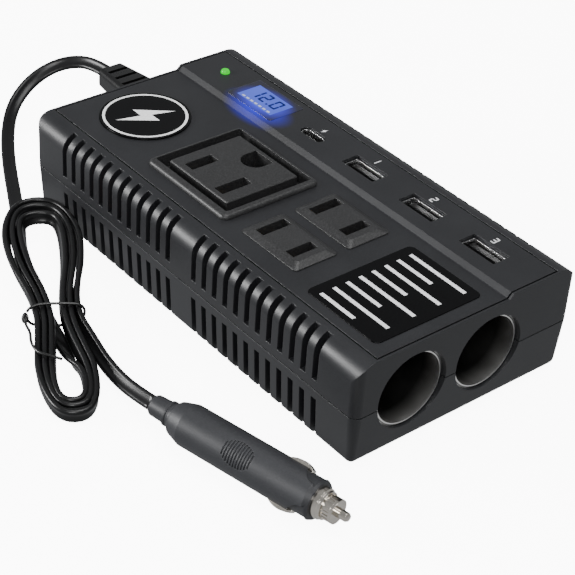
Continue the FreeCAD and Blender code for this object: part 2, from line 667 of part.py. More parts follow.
def usb_c_riser():
    """Small block that lifts the USB-C port to the strip."""
    top = STRIP_HEIGHT - 0.5 - USB_C_DEPTH
    return block(span(PORT_X - 0.5, 3.0), span(USB_C_Y, 8.0), (USB_BOARD_TOP, top))


# ---- display, lamp, badge, label ---------------------------------------------------
def lcd_window():
    """Thin tinted window sunk in the strip over the display."""
    size = (LCD_WINDOW[0] - 0.1, LCD_WINDOW[1] - 0.1)
    return rounded_plate(LCD_CENTRE, size, 0.8, (STRIP_HEIGHT - 0.5, STRIP_HEIGHT + 0.05))


def lcd_display():
    """Display glass with its backlight, behind the window."""
    size = (LCD_GLASS[0] - 0.2, LCD_GLASS[1] - 0.2)
    glass = rounded_plate(LCD_CENTRE, size, 0.3, (STRIP_HEIGHT - 2.4, STRIP_HEIGHT - 0.5))
    tray = (LCD_GLASS[0] + 3.0, LCD_GLASS[1] + 3.0)
    return glass.fuse(rounded_plate(LCD_CENTRE, tray, 0.3, (PANEL_BOTTOM - 2.0, PANEL_BOTTOM)).cut(
        rounded_plate(LCD_CENTRE, LCD_GLASS, 0.3, (PANEL_BOTTOM - 1.0, PANEL_BOTTOM)))).fuse(
        rounded_plate(LCD_CENTRE, size, 0.3, (PANEL_BOTTOM - 1.5, STRIP_HEIGHT - 2.4)))


def display_board():
    """Board behind the display that also carries the lamp."""
    return block((16.2, 29.2), (32.0, 65.5), (PANEL_BOTTOM - 2.0 - BOARD_THICKNESS, PANEL_BOTTOM - 2.0))


def power_led():
    """Domed lamp standing on the display board."""
    x, y = LED_CENTRE
    base = PANEL_BOTTOM - 2.0
    stem = Part.makeCylinder(LED_RADIUS - 0.05, STRIP_HEIGHT - base, Vector(x, y, base))
    dome = Part.makeSphere(LED_RADIUS - 0.05, Vector(x, y, STRIP_HEIGHT))
    cap = block(span(x, 4), span(y, 4), (STRIP_HEIGHT - 0.01, STRIP_HEIGHT + 0.9))
    return stem.fuse(dome.common(cap))


def badge():
    """Round glossy badge with a groove for its white ring."""
    x, y = BADGE_CENTRE
    low = DECK_HEIGHT - 0.2
    disc = Part.makeCylinder(BADGE_RADIUS - 0.05, BADGE_THICKNESS + 0.2, Vector(x, y, low))
    groove_floor = Vector(x, y, DECK_HEIGHT + BADGE_THICKNESS - 0.2)
    return disc.cut(ring(BADGE_RING_OUTER, BADGE_RING_INNER, 1, groove_floor, Z_AXIS))


def badge_ring():
    x, y = BADGE_CENTRE
    groove_floor = Vector(x, y, DECK_HEIGHT + BADGE_THICKNESS - 0.2)
    return ring(BADGE_RING_OUTER, BADGE_RING_INNER, 0.2, groove_floor, Z_AXIS)


def info_label():
    size = (LABEL_SIZE[0] - 0.1, LABEL_SIZE[1] - 0.1)
    low = DECK_HEIGHT - 0.2
    return rounded_plate(LABEL_CENTRE, size, 2.0, (low, low + LABEL_THICKNESS))


# ---- 12 V sockets --------------------------------------------------------------------
def socket_tube(x):
    """Nickelled tube with a rolled lip at the mouth and a flange behind the case front."""
    mouth = FRONT_Y + SOCKET_RECESS
    length = SOCKET_DEPTH - SOCKET_RECESS
    outer = SOCKET_BORE + SOCKET_SHEET
    tube = ring(outer, SOCKET_BORE, length, Vector(x, mouth, SOCKET_Z), Y_AXIS)
    tube = tube.fuse(ring(SOCKET_FLANGE, outer, 0.8, Vector(x, FRONT_Y + WALL + 0.02, SOCKET_Z), Y_AXIS))
    mouth_edges = [edge for edge in tube.Edges if edge.BoundBox.YMax < mouth + 0.01]
    lip = [edge for edge in mouth_edges if edge.BoundBox.ZLength > 2 * outer - 0.1]
    return tube.makeFillet(0.3, lip)


def socket_insulator(x):
    """Plastic floor of the socket."""
    start = FRONT_Y + SOCKET_DEPTH
    place = Vector(x, start, SOCKET_Z)
    disc = Part.makeCylinder(SOCKET_BORE + SOCKET_SHEET + 0.2, SOCKET_FLOOR, place, Y_AXIS)
    disc = disc.cut(Part.makeCylinder(SOCKET_BUTTON + 0.05, SOCKET_BUTTON_DEPTH, place, Y_AXIS))
    return disc.cut(Part.makeCylinder(SOCKET_STEM + 0.05, SOCKET_FLOOR, place, Y_AXIS))


def socket_contact(x):
    """Centre contact: a button flush in the insulator, on a stem that runs through it."""
    place = Vector(x, FRONT_Y + SOCKET_DEPTH, SOCKET_Z)
    button = Part.makeCylinder(SOCKET_BUTTON, SOCKET_BUTTON_DEPTH, place, Y_AXIS)
    return button.fuse(Part.makeCylinder(SOCKET_STEM, SOCKET_FLOOR + 2.0, place, Y_AXIS))


# ---- electronics -----------------------------------------------------------------------
def main_circuit_board():
    board = block(MAIN_BOARD_X, MAIN_BOARD_Y, (MAIN_BOARD_Z, BOARD_TOP))
    for x, y in board_screw_places():
        board = board.cut(Part.makeCylinder(1.3, 9, Vector(x, y, 0)))
    return board


def transformer_core():
    """Ferrite core: two legs and two yokes round the winding."""
    core = block((-9.0, 9.0), (36.0, 55.0), (BOARD_TOP + 2.0, BOARD_TOP + 15.0))
    return core.cut(block((-5.0, 5.0), (33.0, 58.0), (BOARD_TOP + 4.5, BOARD_TOP + 12.5)))


def transformer_winding():
    return rounded_plate((0, 45.5), (9.8, 24.0), 1.5, (BOARD_TOP, BOARD_TOP + 12.4)).cut(
        block((-5.0, 5.0), (36.0, 55.0), (BOARD_TOP, BOARD_TOP + 4.5)))


def capacitor(radius, height, x, y):
    """Electrolytic can standing on the board with a crimped neck."""
    can = Part.makeCylinder(radius, height, Vector(x, y, BOARD_TOP))
    return can.cut(ring(radius + 1, radius - 0.4, 0.8, Vector(x, y, BOARD_TOP + 1.4), Z_AXIS))


def input_capacitors():
    return group([capacitor(4.0, 11.0, x, 28.0) for x in (20.0, 29.0)])


def output_capacitor():
    return capacitor(6.5, 11.5, 22.0, 42.0)


def heat_sink(side):
    """Finned aluminium bar along one side of the board."""
    inner = side * 26.4
    bar = block(sorted((inner, inner + side * 1.6)), (-30.0, -5.0), (BOARD_TOP, BOARD_TOP + 10.8))
    for index in range(4):
        z = BOARD_TOP + 1.2 + index * 2.8
        fin = block(sorted((inner + side * 1.6, inner + side * 5.4)), (-30.0, -5.0), (z, z + 0.9))
        bar = bar.fuse(fin)
    return bar


def power_transistors():
    """Flat packages clamped against both heat sinks."""
    packages = []
    for side in (-1, 1):
        face = side * 26.4
        for y in (-26.0, -9.0):
            x_range = sorted((face - side * 2.4, face - side * 0.02))
            packages.append(block(x_range, span(y, 6.0), (BOARD_TOP + 2.0, BOARD_TOP + 9.0)))
    return group(packages)


def filter_choke():
    """Toroidal choke lying on the board."""
    return Part.makeTorus(5.0, 2.6, Vector(-22.0, 42.0, BOARD_TOP + 2.6), Z_AXIS)


def blade_fuses():
    """Two blade fuses in their holders near the lead."""
    fuses = []
    for x in (-27.0, -17.0):
        body = block(span(x, 4.0), span(28.0, 12.0), (BOARD_TOP + 1.0, BOARD_TOP + 9.0))
        foot = block(span(x, 6.0), span(28.0, 14.0), (BOARD_TOP, BOARD_TOP + 1.0))
        fuses.append(body.fuse(foot))
    return group(fuses)


# ---- fan -----------------------------------------------------------------------------------
def fan_frame():
    """Square fan housing against the back wall, with three struts to the motor seat."""
    front = FAN_FRONT_Y
    back = front + FAN_DEPTH
    frame = block(span(FAN_X, FAN_SIZE), (front, back), span(FAN_Z, FAN_SIZE))
    frame = frame.cut(Part.makeCylinder(FAN_BORE, FAN_DEPTH, Vector(FAN_X, front, FAN_Z), Y_AXIS))
    for angle in (90, 210, 330):
        strut = block((0, FAN_BORE + 0.4), (front, front + 1.5), span(0, 1.6))
        strut.rotate(Vector(0, 0, 0), Y_AXIS, angle)
        strut.translate(Vector(FAN_X, 0, FAN_Z))
        frame = frame.fuse(strut)
    frame = frame.fuse(Part.makeCylinder(FAN_HUB, 1.5, Vector(FAN_X, front, FAN_Z), Y_AXIS))
    frame = frame.fuse(Part.makeCylinder(1.6, 5.0, Vector(FAN_X, front, FAN_Z), Y_AXIS))
    frame = frame.fuse(Part.makeCylinder(0.75, 8.0, Vector(FAN_X, front, FAN_Z), Y_AXIS))
    for side_x in (-1, 1):
        for side_z in (-1, 1):
            place = Vector(FAN_X + side_x * 10.0, front, FAN_Z + side_z * 10.0)
            frame = frame.cut(Part.makeCylinder(1.25, FAN_DEPTH, place, Y_AXIS))
    return frame


def fan_rotor():
    """Hub and blades that turn on the fixed spindle."""
    front = FAN_FRONT_Y
    hub_start = front + 2.0
    hub_length = FAN_DEPTH - 2.6
    hub = Part.makeCylinder(FAN_HUB, hub_length, Vector(0, hub_start, 0), Y_AXIS)
    hub = hub.cut(Part.makeCylinder(FAN_HUB - 1.0, hub_length - 1.6, Vector(0, hub_start, 0), Y_AXIS))
    hub = hub.fuse(ring(2.2, 0.8, hub_length - 3.6, Vector(0, hub_start + 3.2, 0), Y_AXIS))
    blades = []
    for index in range(FAN_BLADES):
        chord = (hub_start + 0.4, hub_start + hub_length - 0.4)
        blade = block(span(0, 0.9), chord, (FAN_HUB - 0.5, FAN_BORE - 0.5))
        blade.rotate(Vector(0, hub_start + hub_length / 2, 0), Z_AXIS, 38)
        blade.rotate(Vector(0, 0, 0), Y_AXIS, 360 / FAN_BLADES * index)
        blades.append(blade)
    rotor = hub
    sweep = ring(FAN_BORE - 0.5, FAN_HUB - 0.3, hub_length - 0.2, Vector(0, hub_start + 0.1, 0), Y_AXIS)
    for blade in blades:
        rotor = rotor.fuse(blade.common(sweep))
    rotor = rotor.cut(Part.makeCylinder(0.8, FAN_DEPTH, Vector(0, front, 0), Y_AXIS))
    rotor.translate(Vector(FAN_X, 0, FAN_Z))
    return rotor


# ---- strain relief and cord -----------------------------------------------------------------


def rounded_path(points, closed):
    """Wire of straight runs joined by tangent arcs as large as the runs allow; also the radii."""
    count = len(points)
    corners = range(count) if closed else range(1, count - 1)
    cut_points = {}
    edges = []
    radii = []
    for index in corners:
        before = points[index - 1]
        here = points[index]
        after = points[(index + 1) % count]
        run_in = here - before
        run_out = after - here
        turn = run_in.getAngle(run_out)
        trim = 0.45 * min(run_in.Length, run_out.Length)
        start = here - run_in.normalize() * trim
        end = here + run_out.normalize() * trim
        radius = trim / math.tan(turn / 2)
        inward = (start + end) * 0.5 - here
        middle = here + inward.normalize() * (radius / math.cos(turn / 2) - radius)
        cut_points[index] = (start, middle, end)
        radii.append(radius)
    for index in corners:
        start, middle, end = cut_points[index]
        previous = index - 1 if index > 0 else count - 1
        origin = cut_points[previous][2] if previous in cut_points else points[previous]
        edges.append(Part.LineSegment(origin, start).toShape())
        edges.append(Part.Arc(start, middle, end).toShape())
    if not closed:
        edges.append(Part.LineSegment(cut_points[count - 2][2], points[-1]).toShape())
    return Part.Wire(edges), radii


def cord_tube(name, route):
    """Plain round tube along one free stretch of the cord."""
    points = [Vector(*point) for point in route]
    path, radii = rounded_path(points, False)
    heading = points[1] - points[0]
    section = Part.Wire([Part.Circle(points[0], heading, CORD_WIDTH / 2).toShape()])
    tube = path.makePipeShell([section], True, False)
    expected = math.pi * (CORD_WIDTH / 2) ** 2 * path.Length
    print(name, "length %.1f" % path.Length, "volume ratio %.4f" % (tube.Volume / expected),
          "radii", ["%.1f" % radius for radius in radii])
    return tube


def hank_placement():
    """Where the hank's own frame lies: its long way along X, tilted up at the far end."""
    heading = Rotation(Z_AXIS, HANK_HEADING)
    tilt = Rotation(Y_AXIS, -HANK_TILT)
    near_reach = -HANK_SIDE[-1][0]
    lift = near_reach * math.sin(math.radians(HANK_TILT)) + 0.1
    return Placement(HANK_CENTRE + Vector(0, 0, lift), heading.multiply(tilt))


def both_sides(side_points):
    """Closed outline from one side's points, mirrored across the long way."""
    mirrored = [(u, -v) for u, v in reversed(side_points[1:-1])]
    return side_points + mirrored


def hank_prism(side_points, z_range):
    """Upright prism with a rounded outline in the hank's own frame."""
    points = [Vector(u, v, z_range[0]) for u, v in both_sides(side_points)]
    outline, _ = rounded_path(points, True)
    return Part.Face(outline).extrude(Vector(0, 0, z_range[1] - z_range[0]))


def cord_hank():
    """Outer shape of the wound hank: a long loop pinched in the middle."""
    solid = hank_prism(HANK_SIDE, (0, HANK_THICKNESS))
    for hole_side in (FAR_HOLE_SIDE, NEAR_HOLE_SIDE):
        solid = solid.cut(hank_prism(hole_side, (-1, HANK_THICKNESS + 1)))
    solid.Placement = hank_placement()
    return solid


def twist_tie():
    """Wire tie round the pinched middle of the hank."""
    waist = 2 * min(v for u, v in HANK_SIDE if v > 0) + 0.2
    top = HANK_THICKNESS + 0.05
    outer = block(span(1.0, TIE_WIDTH), span(0, waist + 2 * TIE_SHEET), (0, top + TIE_SHEET))
    inner = block(span(1.0, 3.0), span(0, waist), (-1.0, top))
    tie = outer.cut(inner)
    tie.Placement = hank_placement()
    return tie


def strain_relief():
    """Tapered, ribbed relief pushed through the back wall, with a flange inside."""
    sections = []
    for y, size in ((END + 0.05, RELIEF_BASE), (RELIEF_TIP_Y, RELIEF_TIP)):
        outline = rounded_outline((0, 0), size, 1.8, 0)
        outline.rotate(Vector(0, 0, 0), X_AXIS, 90)
        outline.translate(Vector(RELIEF_X, y, RELIEF_Z))
        sections.append(outline)
    relief = Part.makeLoft(sections, True, True)
    for index in range(3):
        y = RELIEF_TIP_Y - 4.0 - index * 4.6
        for side in (-1, 1):
            z_range = sorted((RELIEF_Z + side * (2.3 + 0.25 * index), RELIEF_Z + side * 6))
            relief = relief.cut(block(span(RELIEF_X, 7.0 + index), span(y, 1.5), z_range))
    hole = relief_hole_size()
    neck = (hole[0] - 0.2, hole[1] - 0.2)
    through_wall = (END - WALL - 0.05, END + 0.1)
    relief = relief.fuse(block(span(RELIEF_X, neck[0]), through_wall, span(RELIEF_Z, neck[1])))
    flange = (hole[0] + 2.4, hole[1] + 1.8)
    return relief.fuse(block(span(RELIEF_X, flange[0]), (END - WALL - 1.8, END - WALL - 0.05),
                             span(RELIEF_Z, flange[1])))


# ---- plug -------------------------------------------------------------------------------------
def place_on_plug(shape):
    """Move a shape from the plug's own frame, nose along +X, to where the plug lies."""
    moved = shape.copy()
    moved.Placement = PLUG_PLACEMENT.multiply(moved.Placement)
    return moved


def plug_sleeve():
    """Soft sleeve where the cord enters the plug."""
    return turned([
        (0, 2.8), (0.4, 3.0), (5.2, 3.2), (5.2, 3.6), (6.0, 3.6), (6.0, 3.4), (SLEEVE_LENGTH, 3.4),
    ])


def contact_slot(side):
    """Slot in the plug body that one side contact moves in."""
    reach = sorted((side * 2.6, side * 8.0))
    return block(span(CONTACT_STATION, CONTACT_LENGTH + 1.4), reach, span(0, CONTACT_WIDTH + 0.4))


def contact_pocket(side):
    """Shallow U-shaped relief in the skin, from beside the contact to the nose."""
    start = CONTACT_STATION + 2.5
    centre = (start + POCKET_SIZE[0] / 2, 0)
    pocket = rounded_plate(centre, POCKET_SIZE, POCKET_SIZE[1] / 2 - 0.5, (2.0, 9.0))
    pocket.rotate(Vector(0, 0, 0), X_AXIS, -side * 90)
    length = BODY_END - 0.8 - start
    skin = ring(PLUG_RADIUS + 1, PLUG_RADIUS - POCKET_DEPTH, length, Vector(start, 0, 0), X_AXIS)
    return pocket.common(skin)


def grip_ribs(side):
    """Row of fine grooves inside an oval, on one broad side of the plug."""
    grooves = []
    skin = ring(PLUG_RADIUS + 1, PLUG_RADIUS - GRIP_DEPTH, 14, Vector(GRIP_STATION - 7, 0, 0), X_AXIS)
    depth = sorted((side * (PLUG_RADIUS - 1.8), side * (PLUG_RADIUS + 1)))
    for index in range(-5, 6):
        half = GRIP_HALF_WIDTH * math.sqrt(1 - (index / 6.0) ** 2)
        groove = block(span(GRIP_STATION + index * GRIP_PITCH, GRIP_PITCH / 2), span(0, 2 * half), depth)
        grooves.append(groove.common(skin))
    return group(grooves)


def plug_body():
    """Moulded body, chamfered at both ends, with grip ribs, contact slots and a fuse bore."""
    body = turned([
        (SLEEVE_LENGTH + 0.02, 3.6), (BODY_START, 3.9), (BODY_START, 4.7), (BODY_START + 0.5, 4.9),
        (12.2, PLUG_RADIUS), (BODY_END - 1.5, PLUG_RADIUS), (BODY_END, 5.2),
    ])
    bore_length = BODY_END - PLUG_BORE_START
    body = body.cut(Part.makeCylinder(PLUG_BORE, bore_length, Vector(PLUG_BORE_START, 0, 0), X_AXIS))
    for side in (-1, 1):
        body = body.cut(contact_pocket(side))
        body = body.cut(contact_slot(side))
        body = body.cut(grip_ribs(side))
    return body


def plug_contact(side):
    """Sprung side contact: a bowed strip that slides in its slot."""
    bow_radius = 7.2
    centre = Vector(CONTACT_STATION, CONTACT_REACH - bow_radius, -CONTACT_WIDTH / 2)
    bow = Part.makeCylinder(bow_radius, CONTACT_WIDTH, centre, Z_AXIS)
    strip = bow.common(block(span(CONTACT_STATION, CONTACT_LENGTH), (3.9, 7.4), span(0, CONTACT_WIDTH)))
    if side < 0:
        strip = strip.mirror(Vector(0, 0, 0), Y_AXIS)
    return strip


def plug_nose_ring():
    """Nickelled ring that closes the front of the plug body."""
    spigot = 3.0
    nose = turned([
        (BODY_END + 0.02, 4.3), (BODY_END + 1.6, 4.3), (BODY_END + 1.9, 3.9),
        (BODY_END + NOSE_RING_LENGTH, 3.9),
    ])
    back = Vector(BODY_END - spigot, 0, 0)
    nose = nose.fuse(Part.makeCylinder(PLUG_BORE - 0.02, spigot + 0.1, back, X_AXIS))
    return nose.cut(Part.makeCylinder(TIP_COLLAR + 0.3, 12.0, Vector(BODY_END - 5, 0, 0), X_AXIS))


def plug_nose_cap():
    """Knurled cap screwed on the ring; it unscrews to change the fuse."""
    start = BODY_END + NOSE_RING_LENGTH + 0.02
    knurls = 20
    cap = Part.makeCylinder(3.4, NOSE_CAP_LENGTH, Vector(start, 0, 0), X_AXIS)
    for index in range(knurls):
        groove = block((start + 0.3, start + NOSE_CAP_LENGTH - 0.9), (3.15, 4.0), span(0, 0.45))
        groove.rotate(Vector(0, 0, 0), X_AXIS, 360 / knurls * index)
        cap = cap.cut(groove)
    return cap.cut(Part.makeCylinder(TIP_RADIUS + 0.05, NOSE_CAP_LENGTH, Vector(start, 0, 0), X_AXIS))


def plug_tip_pin():
    """Centre pin with an inner collar; it is pushed in when the plug is seated."""
    collar_end = BODY_END + NOSE_RING_LENGTH - 0.05
    reach = BODY_END + NOSE_RING_LENGTH + NOSE_CAP_LENGTH + TIP_REACH
    return turned([
        (collar_end - 1.15, TIP_COLLAR), (collar_end, TIP_COLLAR), (collar_end, TIP_RADIUS),
        (reach - 0.6, TIP_RADIUS), (reach, TIP_RADIUS - 0.4),
    ])


def plug_fuse():
    """Glass tube fuse with metal end caps in the bore behind the pin."""
    tube = Part.makeCylinder(FUSE_RADIUS, 20.0, Vector(31.0, 0, 0), X_AXIS)
    for start in (30.6, 46.6):
        tube = tube.fuse(Part.makeCylinder(FUSE_CAP_RADIUS, 4.8, Vector(start, 0, 0), X_AXIS))
    return tube


def plug_tip_spring():
    """Spring behind the pin, drawn at its fully pressed length."""
    coils = [Part.makeTorus(1.55, 0.3, Vector(51.75 + index * 0.6, 0, 0), X_AXIS) for index in range(2)]
    return group(coils)


def case_parts():
    return {
        "bottom_case": bottom_case(),
        "top_case": top_case(),
        "top_panel": top_panel(),
        "rubber_feet": rubber_feet(),
        "case_screws": case_screws(),
        "lcd_window": lcd_window(),
        "lcd_display": lcd_display(),
        "power_led": power_led(),
        "badge": badge(),
        "badge_ring": badge_ring(),
        "info_label": info_label(),
    }


def outlet_parts():
    parts = {
        "outlet_3pin_frame": outlet_3pin_frame(),
        "outlet_3pin_face": outlet_3pin_face(),
        "outlet_3pin_contacts": outlet_3pin_contacts(),
        "outlet_2pin_left": outlet_2pin(OUTLET_2PIN_X[0]),
        "outlet_2pin_right": outlet_2pin(OUTLET_2PIN_X[1]),
        "outlet_2pin_contacts": outlet_2pin_contacts(),
        "usb_c_shell": usb_c_shell(),
        "usb_c_tongue": usb_c_tongue(),
        "usb_c_riser": usb_c_riser(),
    }
    for index, y in enumerate(USB_A_YS):
        parts["usb_a_shell_%d" % (index + 1)] = usb_a_shell(y)
        parts["usb_a_tongue_%d" % (index + 1)] = usb_a_tongue(y)
    for side, x in zip(("left", "right"), SOCKET_XS):
        parts["socket_tube_" + side] = socket_tube(x)
        parts["socket_insulator_" + side] = socket_insulator(x)
        parts["socket_contact_" + side] = socket_contact(x)
    return parts


def inner_parts():
    return {
        "main_circuit_board": main_circuit_board(),
        "board_screws": board_screws(),
        "usb_board": usb_board(),
        "display_board": display_board(),
        "transformer_core": transformer_core(),
        "transformer_winding": transformer_winding(),
        "input_capacitors": input_capacitors(),
        "output_capacitor": output_capacitor(),
        "power_transistors": power_transistors(),
        "filter_choke": filter_choke(),
        "blade_fuses": blade_fuses(),
        "heat_sinks": group([heat_sink(-1), heat_sink(1)]),
        "fan_frame": fan_frame(),
        "fan_rotor": fan_rotor(),
    }


def cord_parts():
    return {
        "strain_relief": strain_relief(),
        "cord_lead": cord_tube("cord_lead", LEAD_ROUTE),
        "cord_hank": cord_hank(),
        "cord_tail": cord_tube("cord_tail", TAIL_ROUTE),
        "twist_tie": twist_tie(),
    }


def plug_parts():
    shapes = {
        "plug_sleeve": plug_sleeve(),
        "plug_body": plug_body(),
        "plug_contact_left": plug_contact(-1),
        "plug_contact_right": plug_contact(1),
        "plug_nose_ring": plug_nose_ring(),
        "plug_nose_cap": plug_nose_cap(),
        "plug_tip_pin": plug_tip_pin(),
        "plug_fuse": plug_fuse(),
        "plug_tip_spring": plug_tip_spring(),
    }
    return {name: place_on_plug(shape) for name, shape in shapes.items()}


for parts in (case_parts(), outlet_parts(), inner_parts(), cord_parts(), plug_parts()):
    for name, shape in parts.items():
        save(name, shape)
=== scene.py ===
"""Looks of the power inverter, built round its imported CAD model. Metres, +Z up."""
import json
import math

import bpy
from mathutils import Matrix, Vector


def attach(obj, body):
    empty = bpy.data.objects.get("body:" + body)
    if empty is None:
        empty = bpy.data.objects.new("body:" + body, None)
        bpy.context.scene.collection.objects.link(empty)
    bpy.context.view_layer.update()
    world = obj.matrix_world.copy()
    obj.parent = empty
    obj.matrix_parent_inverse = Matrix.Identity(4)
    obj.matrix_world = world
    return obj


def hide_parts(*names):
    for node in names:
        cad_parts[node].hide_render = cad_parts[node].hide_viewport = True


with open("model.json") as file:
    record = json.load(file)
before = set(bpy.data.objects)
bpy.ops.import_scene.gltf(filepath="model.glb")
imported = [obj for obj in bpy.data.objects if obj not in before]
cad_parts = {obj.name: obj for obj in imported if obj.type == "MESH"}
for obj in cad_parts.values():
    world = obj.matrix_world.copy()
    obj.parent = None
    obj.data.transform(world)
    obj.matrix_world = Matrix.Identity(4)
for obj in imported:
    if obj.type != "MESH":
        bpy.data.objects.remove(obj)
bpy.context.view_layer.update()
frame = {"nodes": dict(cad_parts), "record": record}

MM = 0.001
ROOT = "case"

# ---- camera -------------------------------------------------------------------
CAMERA_AZIMUTH = -41.23          # degrees; 0 looks along +Y
CAMERA_ELEVATION = 35.57
CAMERA_ROLL = 4.16
CAMERA_DISTANCE = 504.8 * MM
CAMERA_SHIFT = (0.5 * MM, -1.7 * MM)     # sideways and upwards, off the line to the aim
CAMERA_AIM = Vector((0, 0, 1 * MM))
CAMERA_LENS = 106.9
CAMERA_SENSOR = 36.0

# ---- light --------------------------------------------------------------------
FLOOR_GLOW = 9.0
ROOM_LIGHT = (0.62, 0.40)        # strength of the room's light from below and from above

# ---- cord: flat twin flex ---------------------------------------------------------
CORD_WIDTH = 4.4 * MM
CORD_THICKNESS = 1.8 * MM
FLEX_GROOVE = 0.62               # half thickness at the groove, as a share of a core's radius
CORD_STEPS = 6                   # points of the mesh for each control point
LEAD_ROUTE = [
    (3.5, 97.0, 24.4), (3.4, 106.0, 24.3), (-0.4, 113.4, 23.2), (-7.2, 117.7, 20.5), (-15.4, 118.3, 16.4),
    (-23.8, 114.2, 12.2), (-31.4, 104.6, 9.1), (-38.6, 91.6, 6.9), (-45.2, 77.8, 6.1), (-51.6, 64.9, 5.6),
]
TAIL_ROUTE = [
    (-63.4, 15.0, 5.1), (-64.9, 6.0, 4.0), (-66.5, -2.6, 3.0), (-67.3, -12.0, 2.6), (-67.6, -21.0, 3.8),
    (-68.0, -29.3, 6.0),
]
# Degrees that the broad side leans from upright, one for each control point.
LEAD_LEANS = [48, 46, 44, 45, 50, 62, 78, 88, 90, 90]
UNDER_HANK_LEANS = [90, 90, 90, 90, 60, 25]
TAIL_LEANS = [-20, -42, -50, -50, -50, -50]

# ---- hank, in its own frame: u along it towards the far end, v to its left ------------
HANK_CENTRE = (-67.2, 19.2)
HANK_HEADING = 64.7
HANK_TURNS = 3
HANK_PITCH = 1.9
FAN_PITCH = 2.35                 # the far half is not tied, so its turns lean and fan out
FAN_LEAN = -18.0                 # degrees, tops outwards
TIED_LEAN = -8.0
FAN_FROM = 15.0
HANK_NEAR_Z = 2.5                # height of the cord's middle where the near end rests on the floor
HANK_SLOPE = 0.072               # the far end is held up by the lead
NEAR_END = -41.2
FAR_END = 51.3
SIDE_STATIONS = [
    (NEAR_END, 4.8), (-26, 8.4), (-12, 6.6), (-2, 5.4), (8, 6.2), (22, 9.9), (38, 10.9), (FAR_END, 5.6),
]
NEAR_SLACK = 0.9                 # the last turn stands off the others at the near end
FAR_SLACK = 1.2                  # and the first one at the far end
FAR_INSET = (1.15, 0.3)          # how far an inner turn draws in at the far end, along and across,
NEAR_INSET = (1.0, 0.35)         # and at the near end, as shares of its inset
DRIFT_BEFORE = -20               # nearer than this, a turn begins to move out to the next one
PART_DRIFT = 0.5
LEAD_UNDER_HANK = [
    (36, 6.6, 4.5), (22, 6.2, 3.4), (8, 3.6, 2.4), (-3, 1.2, 1.6), (-12, -0.5, 2.0), (-19, -1.2, 3.2),
]
LEAD_INTO_TURNS = [(-25, -4.2), (-36.5, -3.4)]
TIE_RADIUS = 0.42
TIE_STEPS = 6

# ---- print on the object: reading runs towards the front, tops point to the right ---------
BADGE_CENTRE = (-12.2, 55.4)
BADGE_TOP = 34.5
BADGE_BOLT = 18.0
LABEL_BACK = -40.9
LABEL_LENGTH = 28.2
LABEL_TOP = 34.15
LABEL_MARGIN = 3.4
LABEL_FIRST_BAR = 4.6
LABEL_BAR_PITCH = 4.5
LABEL_BAR_COUNT = 8
LABEL_BAR = 1.2
SHORT_BAR = 0.62                 # length of every other bar, as a share of the long ones
STRIP_TOP = 35.4
WINDOW_TOP = 35.45
DISPLAY_CENTRE = (22.8, 41.8)
DISPLAY_SIZE = (9.0, 16.2)
READING = "12.0"
READING_INSET = (1.6, 2.2)       # below the display's middle, and in from its back edge
DASH_INSET = (0.5, 1.6)          # in from the display's left edge and its back edge
DASH_COUNT = 7
DASH_PITCH = 2.0
DASH_SHARE = 0.6                 # of the pitch
DASH_TALL = 0.7
READING_FIGURE = (3.0, 5.0, 0.72)        # width, height and stroke
PORT_FIGURE = (1.6, 2.7, 0.32)
PORT_MARKS = [("1", -3.3), ("2", -28.1), ("3", -52.8)]
PORT_MARK_X = 26.6
PORT_BOLT = 2.6
PORT_BOLT_CENTRE = (26.2, 17.4)
PRINT_RISE = 0.03
SOCKET_LIP_Y = -73.0 * MM


# ---- camera and stage ---------------------------------------------------------------
def make_camera():
    """Long lens from the front left, above the inverter."""
    azimuth = math.radians(CAMERA_AZIMUTH)
    elevation = math.radians(CAMERA_ELEVATION)
    roll = math.radians(CAMERA_ROLL)
    flat = math.cos(elevation)
    back = Vector((math.sin(azimuth) * flat, -math.cos(azimuth) * flat, math.sin(elevation)))
    level_right = (-back).cross(Vector((0, 0, 1))).normalized()
    level_up = level_right.cross(-back)
    right = level_right * math.cos(roll) + level_up * math.sin(roll)
    up = level_up * math.cos(roll) - level_right * math.sin(roll)
    data = bpy.data.cameras.new("camera")
    data.lens = CAMERA_LENS
    data.sensor_width = CAMERA_SENSOR
    data.clip_start = 0.01
    data.clip_end = 20
    camera = bpy.data.objects.new("camera", data)
    place = CAMERA_AIM + back * CAMERA_DISTANCE + right * CAMERA_SHIFT[0] + up * CAMERA_SHIFT[1]
    camera.matrix_world = Matrix.Translation(place) @ Matrix((right, up, back)).transposed().to_4x4()
    bpy.context.scene.collection.objects.link(camera)
    bpy.context.scene.camera = camera


# ---- mesh helpers ---------------------------------------------------------------------
def new_object(name, vertices, faces, smooth=True):
    """Mesh object from plain lists, in metres."""
    mesh = bpy.data.meshes.new(name)
    mesh.from_pydata([tuple(vertex) for vertex in vertices], [], faces)
    mesh.validate()
    for polygon in mesh.polygons:
        polygon.use_smooth = smooth
    piece = bpy.data.objects.new(name, mesh)
    bpy.context.scene.collection.objects.link(piece)
    return piece


def nurbs_line(points, resolution):
    """Points along one smooth NURBS curve with these control points."""
    curve = bpy.data.curves.new("route", "CURVE")
    curve.dimensions = "3D"
    curve.resolution_u = resolution
    spline = curve.splines.new("NURBS")
    spline.points.add(len(points) - 1)
    for target, point in zip(spline.points, points):
        target.co = (*point, 1.0)
    spline.order_u = 3
    spline.use_endpoint_u = True
    carrier = bpy.data.objects.new("route", curve)
    mesh = bpy.data.meshes.new_from_object(carrier)
    line = [vertex.co.copy() for vertex in mesh.vertices]
    bpy.data.meshes.remove(mesh)
    bpy.data.objects.remove(carrier)
    bpy.data.curves.remove(curve)
    return line


def tangents(line):
    """Unit direction at each point of a line."""
    last = len(line) - 1
    return [(line[min(i + 1, last)] - line[max(i - 1, 0)]).normalized() for i in range(len(line))]


